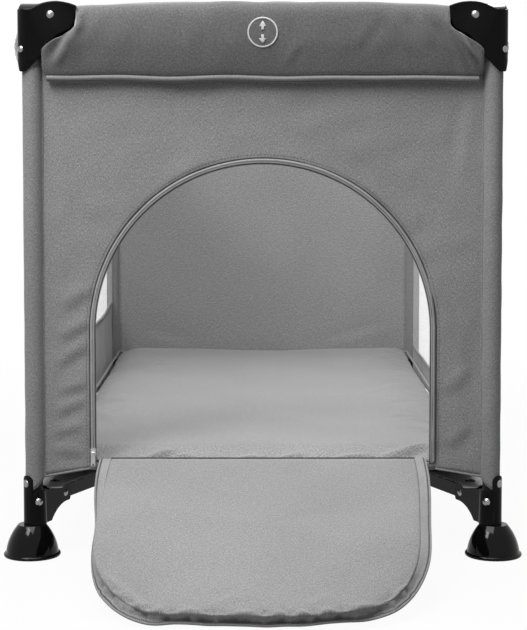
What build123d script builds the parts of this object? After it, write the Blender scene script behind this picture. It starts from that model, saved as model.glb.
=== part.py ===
"""Folding playpen with a zipped door in its front end.

The frame is millimetres, +X to the right, the door end towards -Y and +Z up. The origin is on the
floor under the middle foot. The pieces of one corner are drawn at the right back and mirrored to the
other three. Bars, legs and half rails all turn by one angle when the frame folds, because a bar spans
in plan exactly what the two half rails beside it span.
"""

import os
from math import cos, hypot, radians, sin, sqrt

from build123d import *

# Overall sizes
COT_WIDTH = 650
COT_LENGTH = 1250
RAIL_AXIS_HEIGHT = 737
BAR_AXIS_HEIGHT = 75

# Clearances
PIN_CLEARANCE = 0.05
SEAT_GAP = 0.1
FABRIC_GAP = 0.3
SWING_GAP = 0.5

# Tubes and bars
LEG_TUBE_RADIUS = 11
RAIL_TUBE_RADIUS = 9
TUBE_WALL = 1.2
BAR_WIDTH = 16
BAR_HEIGHT = 18
SLEEVE_THICKNESS = 1.2

# Pivots of the fold
RAIL_PIVOT_INSET = 27.5
LATCH_PIVOT_SPACING = 100
FOOT_PIVOT_REACH = 62
PIN_RADIUS = 3
PIN_HEAD_RADIUS = 5.2
PIN_HEAD_HEIGHT = 2.6

# Corner brackets, heights measured from the rail axis
BRACKET_STANDOFF = 6
BRACKET_WALL = 3
BRACKET_ROOF = 2.4
BRACKET_BOSS_RADIUS = 6
BRACKET_CORNER_RADIUS = 15
BRACKET_EDGE_RADIUS = 2.2
SPOTFACE_DEPTH = 1
WING_LENGTH = 62
WING_HUMP_REACH = 29.5
WING_SHOULDER_RISE = 7
WING_HUMP_RISE = 18
WING_END_RISE = 12.2
WING_END_DROP = 9
WING_END_RAKE = 1.5
WING_HEEL = (6, 19)
WING_KNEE = (26, 28)
TONGUE_DROP = 76
TONGUE_WIDTH = 24
TONGUE_TOE = (3, 9)
TONGUE_TIP_CHAMFER = 13
TONGUE_FLANK = (4, 18)
SOCKET_DROP = 37
CORNER_RIVET_DROP = 46

# Feet and suction cups
CUP_HEIGHT = 43
CUP_LIP_RADIUS = 39
CUP_LIP_HEIGHT = 5
CUP_TOP_RADIUS = 19
CUP_DISH_DEPTH = 9
CUP_SPLAY = 4
CUP_LIP_WIDTH = 3
CUP_BULGE = 3.5
PEG_RADIUS = 8
PEG_LENGTH = 18
NECK_TOP_RADIUS = 14.8
NECK_FOOT_RADIUS = 16
NECK_TOP_RISE = 13
ARM_THICKNESS = 24
ARM_OVERHANG = 15
ARM_FLOOR = 3
GUSSET_REACH = 24
LEG_SOCKET_DEPTH = 36
TAB_WIDTH = 17
TAB_THICKNESS = 3
TAB_RISE = 36
TAB_RIVET_RISE = 25
NECK_RIVET_TURN = 62

# Middle hub
HUB_FOOT_RADIUS = 30
HUB_FOOT_HEIGHT = 6
HUB_COLUMN_RADIUS = 18
HUB_BLOCK_HEIGHT = 30
HUB_ROOF = 4
HUB_FORK_LENGTH = 15
FORK_CHEEK = 3.6
STRAP_WIDTH = 25
STRAP_LENGTH = 64
STRAP_THICKNESS = 2.6

# Rail locks
LATCH_WALL = 3
LATCH_END = 12
LATCH_BLOCK_DROP = 37
LATCH_TOP_RISE = 9.5
BUTTON_RADIUS = 10
BUTTON_PROUD = 2
BUTTON_LENGTH = 9
BUTTON_TRAVEL = 4.6
BUTTON_DROP = 24

# Rail covers
COVER_HALF_WIDTH = 20.5
COVER_TOP_RISE = 18
COVER_DEPTH = 107
COVER_HEM_HALF_WIDTH = 7
COVER_BELLY_INSET = 1.5
COVER_BELLY_SHARE = 0.45

# Walls
WALL_THICKNESS = 2
WALL_BOTTOM = 117
WALL_TOP_DROP = 45
SLEEVE_TOP_DROP = 57
SIDE_WALL_LIFT = 7
LEFT_BAND_TOP = 230
RIGHT_BAND_TOP = 140
NET_COLUMNS = 12
NET_ROWS = 7
NET_CORD = 6
NET_HEM = 14

# Doorway, zip and door
HINGE_HEIGHT = 130
DOORWAY_HALF_WIDTH = 236
DOORWAY_SPRING_HEIGHT = 308
ZIP_WIDTH = 8
ZIP_THICKNESS = 2.4
DOOR_THICKNESS = 6
DOOR_TAPE_WIDTH = 7
DOOR_TAPE_THICKNESS = 2
DOOR_GAP = 0.9
DOOR_SLOPE = 16
SLIDER_WIDTH = 7.6
SLIDER_HEIGHT = 12
SLIDER_THICKNESS = 3.6
SLIDER_RISE = 12
PULLER_WIDTH = 6.4
PULLER_LENGTH = 15
PULLER_THICKNESS = 1.6
PULLER_PIN_RADIUS = 0.9

# Floor sheet and mattress
SHEET_THICKNESS = 1.5
SHEET_MARGIN = 7.5
SHEET_OVERHANG = 6
SHEET_HOLLOW_DEPTH = 180
SHEET_HOLLOW_RADIUS = 60
EYELET_RADIUS = 6.5
MATTRESS_MARGIN = 17.5
MATTRESS_EDGE_HEIGHT = 38
MATTRESS_CROWN = 9
MATTRESS_DRAWN_IN = 9
MATTRESS_ROUNDING = 7

# Places worked out from those sizes
SLEEVE_INNER_RADIUS = LEG_TUBE_RADIUS + FABRIC_GAP
SLEEVE_RADIUS = SLEEVE_INNER_RADIUS + SLEEVE_THICKNESS
LEG_X = COT_WIDTH / 2 - SLEEVE_RADIUS
LEG_Y = COT_LENGTH / 2 - SLEEVE_RADIUS
LATCH_PIVOT = LATCH_PIVOT_SPACING / 2
END_REACH = LEG_X - RAIL_PIVOT_INSET - LATCH_PIVOT
SIDE_REACH = LEG_Y - RAIL_PIVOT_INSET - LATCH_PIVOT
BAR_REACH = hypot(END_REACH, SIDE_REACH)
BAR_X = END_REACH / BAR_REACH
BAR_Y = SIDE_REACH / BAR_REACH
FOOT_PIVOT = (LEG_X - BAR_X * FOOT_PIVOT_REACH, LEG_Y - BAR_Y * FOOT_PIVOT_REACH)
HUB_PIVOT = (FOOT_PIVOT[0] - END_REACH, FOOT_PIVOT[1] - SIDE_REACH)
PIN_HOLE = PIN_RADIUS + PIN_CLEARANCE
CUP_X = LEG_X + CUP_SPLAY
CUP_Y = LEG_Y + CUP_SPLAY
BRACKET_HALF = SLEEVE_RADIUS + BRACKET_STANDOFF
LATCH_HALF = RAIL_TUBE_RADIUS + SWING_GAP + LATCH_WALL
HUB_TOP = BAR_AXIS_HEIGHT + BAR_HEIGHT / 2 + SWING_GAP + HUB_ROOF
SHEET_BOTTOM = HUB_TOP + FABRIC_GAP
WALL_TOP = RAIL_AXIS_HEIGHT - WALL_TOP_DROP
SLEEVE_TOP = RAIL_AXIS_HEIGHT - SLEEVE_TOP_DROP
SIDE_WALL_BOTTOM = BAR_AXIS_HEIGHT + NECK_TOP_RISE + SIDE_WALL_LIFT
SILL = HINGE_HEIGHT - DOOR_THICKNESS / 2 - SWING_GAP
COVER_INSET = COVER_HALF_WIDTH + FABRIC_GAP

# Planes at the right back corner. Across a plane, its own Z runs outwards from the cot.
LEG_PLANE = Plane((LEG_X, LEG_Y, 0))
END_PLANE = Plane((LEG_X, LEG_Y, 0), x_dir=(-1, 0, 0), z_dir=(0, 1, 0))
SIDE_PLANE = Plane((LEG_X, LEG_Y, 0), x_dir=(0, -1, 0), z_dir=(-1, 0, 0))
BAR_PLANE = Plane((LEG_X, LEG_Y, 0), x_dir=(-BAR_X, -BAR_Y, 0), z_dir=(-BAR_Y, BAR_X, 0))
DIAGONAL = (1, 1, 0)

# Planes at the middles of the sides, with their own Z outwards, and those of the door and its zip
BACK_MIDDLE = Plane((0, LEG_Y, 0), x_dir=(-1, 0, 0), z_dir=(0, 1, 0))
RIGHT_MIDDLE = Plane((LEG_X, 0, 0), x_dir=(0, 1, 0), z_dir=(1, 0, 0))
FRONT_MIDDLE = Plane((0, -LEG_Y, 0), x_dir=(1, 0, 0), z_dir=(0, -1, 0))
DOOR_PLANE = Plane(
    (0, -LEG_Y, HINGE_HEIGHT),
    x_dir=(1, 0, 0),
    z_dir=(0, sin(radians(DOOR_SLOPE)), -cos(radians(DOOR_SLOPE))),
)
SLIDER_PLANE = Plane(
    (ZIP_WIDTH / 2 - DOORWAY_HALF_WIDTH, -LEG_Y, HINGE_HEIGHT + SLIDER_RISE),
    x_dir=(1, 0, 0),
    z_dir=(0, -1, 0),
)
EAR_WIDTH = SLIDER_WIDTH / 6
EAR_PLACE = SLIDER_WIDTH / 2 - EAR_WIDTH
EYE_WIDTH = 2 * EAR_PLACE - EAR_WIDTH - 2 * SEAT_GAP
PULLER_PIN_PLANE = Plane(
    SLIDER_PLANE.from_local_coords((0, 0, ZIP_THICKNESS / 2 + SLIDER_THICKNESS + 3 * PULLER_PIN_RADIUS)),
    x_dir=(0, 1, 0),
    z_dir=(1, 0, 0),
)


def write(piece, name):
    """Label a finished piece and write it to its own file."""
    piece.label = name
    export_step(piece, f"parts/{name}.step")


def four_ways(piece):
    """A right back piece and its mirror images at the left back, the right front and the left front."""
    left_back = mirror(piece, about=Plane.YZ)
    return [piece, left_back, mirror(piece, about=Plane.XZ), mirror(left_back, about=Plane.XZ)]


def write_at_corners(piece, name):
    """Write a right back piece at all four corners."""
    corners = ("back_right", "back_left", "front_right", "front_left")
    for corner, copy in zip(corners, four_ways(piece)):
        write(copy, f"{corner}_{name}")


def leg_tube():
    """A plain steel tube from the foot's socket up into the bracket, drilled for its three rivets."""
    bottom = BAR_AXIS_HEIGHT + NECK_TOP_RISE - LEG_SOCKET_DEPTH
    top = RAIL_AXIS_HEIGHT - SEAT_GAP
    with BuildPart() as tube:
        with BuildSketch(LEG_PLANE.offset(bottom)):
            Circle(LEG_TUBE_RADIUS)
            Circle(LEG_TUBE_RADIUS - TUBE_WALL, mode=Mode.SUBTRACT)
        extrude(amount=top - bottom)
        for direction, height, _ in fixing_rivets():
            with BuildSketch(Plane((LEG_X, LEG_Y, height), z_dir=direction)):
                Circle(PIN_HOLE)
            extrude(amount=2 * LEG_TUBE_RADIUS, mode=Mode.SUBTRACT)
    return tube.part


def fixing_rivets():
    """Direction, height and seat radius of the rivets that fix the bracket and the foot to the leg."""
    corner_edge = (BRACKET_HALF - BRACKET_CORNER_RADIUS) * sqrt(2) + BRACKET_CORNER_RADIUS
    corner_seat = corner_edge - SPOTFACE_DEPTH
    tab_seat = SLEEVE_RADIUS + FABRIC_GAP + TAB_THICKNESS
    taper = (NECK_FOOT_RADIUS - NECK_TOP_RADIUS) * NECK_TOP_RISE
    neck_seat = NECK_TOP_RADIUS + taper / (BAR_AXIS_HEIGHT + NECK_TOP_RISE - CUP_HEIGHT)
    turn = radians(NECK_RIVET_TURN)
    return [
        (DIAGONAL, RAIL_AXIS_HEIGHT - CORNER_RIVET_DROP, corner_seat),
        (DIAGONAL, BAR_AXIS_HEIGHT + TAB_RIVET_RISE, tab_seat),
        ((-cos(turn), sin(turn), 0), BAR_AXIS_HEIGHT, neck_seat),
    ]


def wing_outline(plane, grow=0.0):
    """Outline of one bracket wing: a humped top, a raked end and a tongue down the leg."""
    half = BRACKET_HALF
    axis = RAIL_AXIS_HEIGHT
    tip = axis - TONGUE_DROP
    shoulder = (-half, axis + WING_SHOULDER_RISE)
    hump_start = (0, axis + WING_SHOULDER_RISE + 1)
    hump = (WING_HUMP_REACH, axis + WING_HUMP_RISE)
    end_top = (WING_LENGTH, axis + WING_END_RISE)
    end_bottom = (WING_LENGTH - WING_END_RAKE, axis - WING_END_DROP)
    heel = (WING_LENGTH - WING_HEEL[0], axis - WING_HEEL[1])
    knee = (WING_LENGTH - WING_KNEE[0], axis - WING_KNEE[1])
    toe = (TONGUE_WIDTH - half - TONGUE_TOE[0], tip + TONGUE_TOE[1])
    tip_inner = (TONGUE_WIDTH - half - TONGUE_TIP_CHAMFER, tip)
    tip_outer = (TONGUE_FLANK[0] - half, tip)
    flank = (-half, tip + TONGUE_FLANK[1])
    with BuildSketch(plane) as outline:
        with BuildLine():
            Polyline(flank, shoulder, hump_start)
            ThreePointArc(hump_start, hump, end_top)
            Polyline(end_top, end_bottom, heel, knee, toe, tip_inner, tip_outer, flank)
        make_face()
        rounded = ((shoulder, 8), (heel, 6), (knee, 14), (toe, 5), (tip_inner, 4), (tip_outer, 3))
        for corner, radius in rounded:
            fillet(outline.vertices().sort_by_distance(corner)[0], radius=radius)
        if grow:
            offset(amount=grow)
    return outline.sketch


def wing(plane):
    """One solid wing of a bracket, with the edge of its outer face rounded."""
    with BuildPart() as solid:
        extrude(wing_outline(plane), amount=BRACKET_HALF, both=True)
        cheeks = solid.faces().filter_by(Axis(plane.origin, plane.z_dir))
        outer = cheeks.sort_by(Axis((0, 0, 0), DIAGONAL))[-1]
        fillet(outer.edges(), radius=BRACKET_EDGE_RADIUS)
    return solid.part


def bracket():
    """Moulded corner bracket: two channel wings for the rails, a leg socket and a tongue."""
    half = BRACKET_HALF
    inner_half = half - BRACKET_WALL
    roof = RAIL_AXIS_HEIGHT + WING_HUMP_RISE - BRACKET_ROOF
    channel_start = RAIL_PIVOT_INSET - RAIL_TUBE_RADIUS - 2 * SWING_GAP
    socket_floor = RAIL_AXIS_HEIGHT - SOCKET_DROP
    top = RAIL_AXIS_HEIGHT + WING_HUMP_RISE
    bottom = RAIL_AXIS_HEIGHT - TONGUE_DROP
    boss_reach = RAIL_TUBE_RADIUS + SWING_GAP
    with BuildPart() as body:
        for plane in (END_PLANE, SIDE_PLANE):
            add(wing(plane))
        # the outer corner is rounded in plan
        with BuildSketch(LEG_PLANE.offset(bottom - 1)):
            with Locations((-WING_LENGTH, -WING_LENGTH)):
                RectangleRounded(2 * (WING_LENGTH + half), 2 * (WING_LENGTH + half), BRACKET_CORNER_RADIUS)
        extrude(amount=top - bottom + 2, mode=Mode.INTERSECT)
        # the tongue tapers on both of its faces
        flat_wing = wing_outline(Plane.XY, grow=SWING_GAP)
        for plane in (END_PLANE, SIDE_PLANE):
            with BuildSketch(plane):
                with Locations((0, (bottom + socket_floor) / 2 - 1)):
                    Rectangle(2 * half + 2, socket_floor - bottom + 2)
                add(flat_wing, mode=Mode.SUBTRACT)
            extrude(amount=half + 1, both=True, mode=Mode.SUBTRACT)
        # each wing is a channel, open below and at its end
        for plane in (END_PLANE, SIDE_PLANE):
            with BuildSketch(plane):
                with BuildLine():
                    start = (channel_start, bottom - 1)
                    roof_start = (channel_start, roof - BRACKET_ROOF)
                    roof_end = (WING_LENGTH + 1, RAIL_AXIS_HEIGHT + WING_END_RISE - BRACKET_ROOF)
                    Line(start, roof_start)
                    ThreePointArc(roof_start, (WING_HUMP_REACH, roof), roof_end)
                    Polyline(roof_end, (WING_LENGTH + 1, bottom - 1), start)
                make_face()
            extrude(amount=inner_half, both=True, mode=Mode.SUBTRACT)
        # below the socket the tongue leaves room for the sleeve and the walls
        room = SLEEVE_RADIUS + SWING_GAP
        with BuildSketch(LEG_PLANE.offset(bottom - 1)):
            Circle(room)
            with Locations((-WING_LENGTH / 2, 0)):
                Rectangle(WING_LENGTH, 2 * room)
            with Locations((0, -WING_LENGTH / 2)):
                Rectangle(2 * room, WING_LENGTH)
        extrude(amount=socket_floor - bottom + 1, mode=Mode.SUBTRACT)
        with BuildSketch(LEG_PLANE.offset(bottom)):
            Circle(LEG_TUBE_RADIUS + SEAT_GAP)
        extrude(amount=RAIL_AXIS_HEIGHT - bottom, mode=Mode.SUBTRACT)
        # bosses centre the rail between the cheeks
        for plane in (END_PLANE, SIDE_PLANE):
            for side in (-1, 1):
                with BuildSketch(plane.offset(side * boss_reach)):
                    with Locations((RAIL_PIVOT_INSET, RAIL_AXIS_HEIGHT)):
                        Circle(BRACKET_BOSS_RADIUS)
                extrude(amount=side * (inner_half - boss_reach + 1))
            with BuildSketch(plane):
                with Locations((RAIL_PIVOT_INSET, RAIL_AXIS_HEIGHT)):
                    Circle(PIN_HOLE)
            extrude(amount=half + 1, both=True, mode=Mode.SUBTRACT)
        direction, height, seat = fixing_rivets()[0]
        with BuildSketch(Plane((LEG_X, LEG_Y, height), z_dir=direction)):
            Circle(PIN_HOLE)
        extrude(amount=seat + 1, mode=Mode.SUBTRACT)
        # the corner rivet's head stands in a spotface
        with BuildSketch(Plane((LEG_X, LEG_Y, height), z_dir=direction).offset(seat)):
            Circle(PIN_HEAD_RADIUS + SEAT_GAP)
        extrude(amount=PIN_HEAD_HEIGHT, mode=Mode.SUBTRACT)
    return body.part


def foot():
    """Moulded foot: a tapered socket for the leg, a riveted outer tab and a forked arm for the bar."""
    neck_top = BAR_AXIS_HEIGHT + NECK_TOP_RISE
    arm_end = FOOT_PIVOT_REACH + ARM_OVERHANG
    channel_floor = BAR_AXIS_HEIGHT - BAR_HEIGHT / 2 - SWING_GAP
    arm_under = channel_floor - ARM_FLOOR
    tab_inner = SLEEVE_RADIUS + FABRIC_GAP
    fork_half = BAR_WIDTH / 2 + SWING_GAP
    with BuildPart() as tab:
        with BuildSketch(LEG_PLANE.offset(CUP_HEIGHT)):
            Circle(tab_inner + TAB_THICKNESS)
            Circle(tab_inner, mode=Mode.SUBTRACT)
        extrude(amount=BAR_AXIS_HEIGHT + TAB_RISE - CUP_HEIGHT)
        with BuildSketch(Plane((LEG_X, LEG_Y, 0), x_dir=(-1, 1, 0), z_dir=DIAGONAL)):
            tab_height = BAR_AXIS_HEIGHT + TAB_RISE - CUP_HEIGHT
            with Locations((0, CUP_HEIGHT + tab_height / 2)):
                SlotOverall(tab_height, TAB_WIDTH, rotation=90)
        extrude(amount=tab_inner + TAB_THICKNESS + 1, mode=Mode.INTERSECT)
    with BuildPart() as body:
        with BuildSketch(BAR_PLANE):
            with BuildLine():
                gusset = (GUSSET_REACH, CUP_HEIGHT)
                bend = (GUSSET_REACH + 0.35 * (arm_end - GUSSET_REACH), arm_under - 5)
                under = (arm_end - 3, arm_under)
                Polyline((0, neck_top), (0, CUP_HEIGHT), gusset)
                ThreePointArc(gusset, bend, under)
                Polyline(under, (arm_end, BAR_AXIS_HEIGHT), (arm_end - 2, neck_top), (0, neck_top))
            make_face()
        extrude(amount=ARM_THICKNESS / 2, both=True)
        arm_corners = body.edges().filter_by(Axis((0, 0, 0), BAR_PLANE.z_dir))
        fillet(arm_corners.sort_by(lambda e: e.center().X + e.center().Y)[:3], radius=4)
        with BuildSketch(Plane((LEG_X, LEG_Y, 0), x_dir=(1, 0, 0), z_dir=(0, -1, 0))):
            with BuildLine():
                Polyline(
                    (0, CUP_HEIGHT),
                    (NECK_FOOT_RADIUS, CUP_HEIGHT),
                    (NECK_TOP_RADIUS, neck_top),
                    (0, neck_top),
                    close=True,
                )
            make_face()
        revolve(axis=Axis((LEG_X, LEG_Y, 0), (0, 0, 1)))
        add(tab.part)
        with BuildSketch(Plane((CUP_X, CUP_Y, CUP_HEIGHT))):
            Circle(PEG_RADIUS)
        extrude(amount=-PEG_LENGTH)
        # the fork for the bar, open above and at its end
        with BuildSketch(BAR_PLANE):
            fork_start = NECK_TOP_RADIUS + ARM_FLOOR
            with Locations(((fork_start + arm_end + 1) / 2, (channel_floor + neck_top + 1) / 2)):
                Rectangle(arm_end + 1 - fork_start, neck_top + 1 - channel_floor)
        extrude(amount=fork_half, both=True, mode=Mode.SUBTRACT)
        with BuildSketch(BAR_PLANE):
            with Locations((FOOT_PIVOT_REACH, BAR_AXIS_HEIGHT)):
                Circle(PIN_HOLE)
        extrude(amount=ARM_THICKNESS, both=True, mode=Mode.SUBTRACT)
        with BuildSketch(LEG_PLANE.offset(neck_top - LEG_SOCKET_DEPTH)):
            Circle(LEG_TUBE_RADIUS + SEAT_GAP)
        extrude(amount=LEG_SOCKET_DEPTH + TAB_RISE, mode=Mode.SUBTRACT)
        for direction, height, seat in fixing_rivets()[1:]:
            with BuildSketch(Plane((LEG_X, LEG_Y, height), z_dir=direction)):
                Circle(PIN_HOLE)
            extrude(amount=seat + 2, mode=Mode.SUBTRACT)
            with BuildSketch(Plane((LEG_X, LEG_Y, height), z_dir=direction).offset(seat)):
                Circle(PIN_HEAD_RADIUS + SEAT_GAP)
            extrude(amount=PIN_HEAD_HEIGHT, mode=Mode.SUBTRACT)
    return body.part


def suction_cup():
    """Rubber cup: a domed skirt with a rolled lip, a shallow dish below and a socket for the peg."""
    skirt = CUP_LIP_RADIUS - CUP_LIP_WIDTH
    with BuildPart() as cup:
        with BuildSketch(Plane((CUP_X, CUP_Y, 0), x_dir=(1, 0, 0), z_dir=(0, -1, 0))):
            with BuildLine():
                rim = (skirt - CUP_LIP_HEIGHT, 0)
                lip_low = (CUP_LIP_RADIUS - 1, 0)
                lip_out = (CUP_LIP_RADIUS, CUP_LIP_HEIGHT / 2)
                lip_top = (skirt, CUP_LIP_HEIGHT)
                dome_mid = ((skirt + CUP_TOP_RADIUS) / 2 + CUP_BULGE, (CUP_LIP_HEIGHT + CUP_HEIGHT) / 2)
                crown = (CUP_TOP_RADIUS, CUP_HEIGHT)
                TangentArc((0, CUP_DISH_DEPTH), rim, tangent=(1, 0))
                Line(rim, lip_low)
                ThreePointArc(lip_low, lip_out, lip_top)
                ThreePointArc(lip_top, dome_mid, crown)
                Polyline(crown, (0, CUP_HEIGHT), (0, CUP_DISH_DEPTH))
            make_face()
        revolve(axis=Axis((CUP_X, CUP_Y, 0), (0, 0, 1)))
        with BuildSketch(Plane((CUP_X, CUP_Y, CUP_HEIGHT))):
            Circle(PEG_RADIUS + SEAT_GAP)
        extrude(amount=-PEG_LENGTH - SEAT_GAP, mode=Mode.SUBTRACT)
    return cup.part


def pin(half_length):
    """A rivet through two cheeks, with a dome at each end, along Z about the origin."""
    with BuildPart() as rivet:
        with BuildSketch(Plane.XZ):
            with BuildLine():
                top = half_length + PIN_HEAD_HEIGHT
                Polyline((0, -top), (0, top))
                TangentArc((0, top), (PIN_HEAD_RADIUS, half_length), tangent=(1, 0))
                Line((PIN_HEAD_RADIUS, half_length), (PIN_RADIUS, half_length))
                Line((PIN_RADIUS, half_length), (PIN_RADIUS, -half_length))
                Line((PIN_RADIUS, -half_length), (PIN_HEAD_RADIUS, -half_length))
                TangentArc((0, -top), (PIN_HEAD_RADIUS, -half_length), tangent=(1, 0))
            make_face()
        revolve(axis=Axis.Z)
    return rivet.part


def blind_rivet(seat):
    """A rivet with one dome, whose shank ends inside the leg tube, along Z from the leg axis."""
    with BuildPart() as rivet:
        with BuildSketch(Plane.XZ):
            with BuildLine():
                top = seat + PIN_HEAD_HEIGHT
                shank_end = LEG_TUBE_RADIUS - 2 * TUBE_WALL
                Polyline((PIN_HEAD_RADIUS, seat), (PIN_RADIUS, seat), (PIN_RADIUS, shank_end))
                Polyline((PIN_RADIUS, shank_end), (0, shank_end), (0, top))
                TangentArc((0, top), (PIN_HEAD_RADIUS, seat), tangent=(1, 0))
            make_face()
        revolve(axis=Axis.Z)
    return rivet.part


def corner_rivets():
    """The six rivets of one corner, each a solid of its own."""
    rail_pin = pin(BRACKET_HALF)
    bar_pin = pin(ARM_THICKNESS / 2)
    with BuildPart() as rivets:
        for plane in (END_PLANE, SIDE_PLANE):
            centre = plane.from_local_coords((RAIL_PIVOT_INSET, RAIL_AXIS_HEIGHT, 0))
            add(Plane(centre, z_dir=plane.z_dir) * rail_pin)
        centre = BAR_PLANE.from_local_coords((FOOT_PIVOT_REACH, BAR_AXIS_HEIGHT, 0))
        add(Plane(centre, z_dir=BAR_PLANE.z_dir) * bar_pin)
        for direction, height, seat in fixing_rivets():
            add(Plane((LEG_X, LEG_Y, height), z_dir=direction) * blind_rivet(seat))
    return rivets.part


def half_rail(plane, reach):
    """A half rail with ends rounded about its two pivots, in the plane of its corner."""
    centre = RAIL_PIVOT_INSET + reach / 2
    with BuildPart() as rail:
        with BuildSketch(plane):
            with Locations((centre, RAIL_AXIS_HEIGHT)):
                SlotCenterToCenter(reach, 2 * RAIL_TUBE_RADIUS)
        extrude(amount=RAIL_TUBE_RADIUS, both=True)
        along = Plane(
            plane.from_local_coords((0, RAIL_AXIS_HEIGHT, 0)), x_dir=plane.z_dir, z_dir=plane.x_dir
        )
        with BuildSketch(along):
            Circle(RAIL_TUBE_RADIUS)
        extrude(amount=centre + reach, mode=Mode.INTERSECT)
        with BuildSketch(along):
            Circle(RAIL_TUBE_RADIUS - TUBE_WALL)
        extrude(amount=centre + reach, mode=Mode.SUBTRACT)
        with BuildSketch(plane):
            with Locations(
                (RAIL_PIVOT_INSET, RAIL_AXIS_HEIGHT), (RAIL_PIVOT_INSET + reach, RAIL_AXIS_HEIGHT)
            ):
                Circle(PIN_HOLE)
        extrude(amount=RAIL_TUBE_RADIUS, both=True, mode=Mode.SUBTRACT)
    return rail.part


def floor_bar():
    """A rectangular floor bar with ends rounded about its pivots at the foot and the hub."""
    hub_end = FOOT_PIVOT_REACH + BAR_REACH
    centre = (FOOT_PIVOT_REACH + hub_end) / 2
    with BuildPart() as bar:
        with BuildSketch(BAR_PLANE):
            with Locations((centre, BAR_AXIS_HEIGHT)):
                SlotCenterToCenter(BAR_REACH, BAR_HEIGHT)
        extrude(amount=BAR_WIDTH / 2, both=True)
        with BuildSketch(BAR_PLANE):
            with Locations((centre, BAR_AXIS_HEIGHT)):
                Rectangle(BAR_REACH + 2 * BAR_HEIGHT, BAR_HEIGHT - 2 * TUBE_WALL)
        extrude(amount=BAR_WIDTH / 2 - TUBE_WALL, both=True, mode=Mode.SUBTRACT)
        with BuildSketch(BAR_PLANE):
            with Locations((FOOT_PIVOT_REACH, BAR_AXIS_HEIGHT), (hub_end, BAR_AXIS_HEIGHT)):
                Circle(PIN_HOLE)
        extrude(amount=BAR_WIDTH, both=True, mode=Mode.SUBTRACT)
    return bar.part


def hub():
    """Middle hub: a foot and column, a block, and four forks open below under one roof."""
    fork_half = BAR_WIDTH / 2 + SWING_GAP
    fork_outer = fork_half + FORK_CHEEK
    slot_top = BAR_AXIS_HEIGHT + BAR_HEIGHT / 2 + SWING_GAP
    fork_bottom = BAR_AXIS_HEIGHT - BAR_HEIGHT / 2
    pin_end = fork_outer + PIN_HEAD_HEIGHT
    block_half = HUB_PIVOT[0] - BAR_Y * pin_end - BAR_X * PIN_HEAD_RADIUS - SWING_GAP
    pivot = FOOT_PIVOT_REACH + BAR_REACH
    with BuildPart() as fork:
        with BuildSketch(BAR_PLANE):
            with Locations((pivot, (fork_bottom + HUB_TOP) / 2)):
                Rectangle(2 * HUB_FORK_LENGTH, HUB_TOP - fork_bottom)
        extrude(amount=fork_outer, both=True)
        lower = fork.edges().filter_by(Axis((0, 0, 0), BAR_PLANE.z_dir)).sort_by(Axis.Z)[:2]
        fillet(lower, radius=6)
    with BuildPart() as slots:
        with BuildSketch(BAR_PLANE):
            inner = pivot + BAR_HEIGHT / 2 + SWING_GAP
            outer = pivot - HUB_FORK_LENGTH - 1
            with Locations(((inner + outer) / 2, (slot_top + fork_bottom - 1) / 2)):
                Rectangle(inner - outer, slot_top - fork_bottom + 1)
        extrude(amount=fork_half, both=True)
        with BuildSketch(BAR_PLANE):
            with Locations((pivot, BAR_AXIS_HEIGHT)):
                Circle(PIN_HOLE)
        extrude(amount=fork_outer + 1, both=True)
    forks = four_ways(fork.part)
    bar_slots = four_ways(slots.part)
    with BuildPart() as body:
        with BuildSketch(Plane.XY):
            Circle(HUB_FOOT_RADIUS)
        extrude(amount=HUB_FOOT_HEIGHT)
        fillet(body.edges().group_by(Axis.Z)[-1], radius=HUB_FOOT_HEIGHT / 2)
        with BuildSketch(Plane.XY.offset(HUB_FOOT_HEIGHT)):
            Circle(HUB_COLUMN_RADIUS)
        extrude(amount=HUB_TOP - HUB_FOOT_HEIGHT)
        with BuildSketch(Plane.XY.offset(HUB_TOP - HUB_BLOCK_HEIGHT)):
            RectangleRounded(2 * block_half, 2 * (HUB_PIVOT[1] + HUB_FORK_LENGTH), 8)
        extrude(amount=HUB_BLOCK_HEIGHT)
        add(forks)
        with BuildSketch(Plane.XY.offset(slot_top)):
            Ellipse(HUB_PIVOT[0] + 2 * HUB_FORK_LENGTH, HUB_PIVOT[1] + 1.6 * HUB_FORK_LENGTH)
        extrude(amount=HUB_ROOF)
        add(bar_slots, mode=Mode.SUBTRACT)
        # the strap lies in a groove in the roof
        with BuildSketch(Plane.XY.offset(HUB_TOP)):
            SlotOverall(STRAP_LENGTH + 2 * SEAT_GAP, STRAP_WIDTH + 2 * SEAT_GAP)
        extrude(amount=-STRAP_THICKNESS - SEAT_GAP, mode=Mode.SUBTRACT)
    return body.part


def hub_pins():
    """The four rivets that the bars turn on at the hub."""
    fork_outer = BAR_WIDTH / 2 + SWING_GAP + FORK_CHEEK
    centre = BAR_PLANE.from_local_coords((FOOT_PIVOT_REACH + BAR_REACH, BAR_AXIS_HEIGHT, 0))
    rivet = Plane(centre, z_dir=BAR_PLANE.z_dir) * pin(fork_outer)
    return Compound(children=four_ways(rivet))


def pull_strap():
    """Webbing strap that lies in the hub's groove."""
    with BuildPart() as strap:
        with BuildSketch(Plane.XY.offset(HUB_TOP)):
            SlotOverall(STRAP_LENGTH, STRAP_WIDTH)
        extrude(amount=-STRAP_THICKNESS)
    return strap.part


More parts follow.
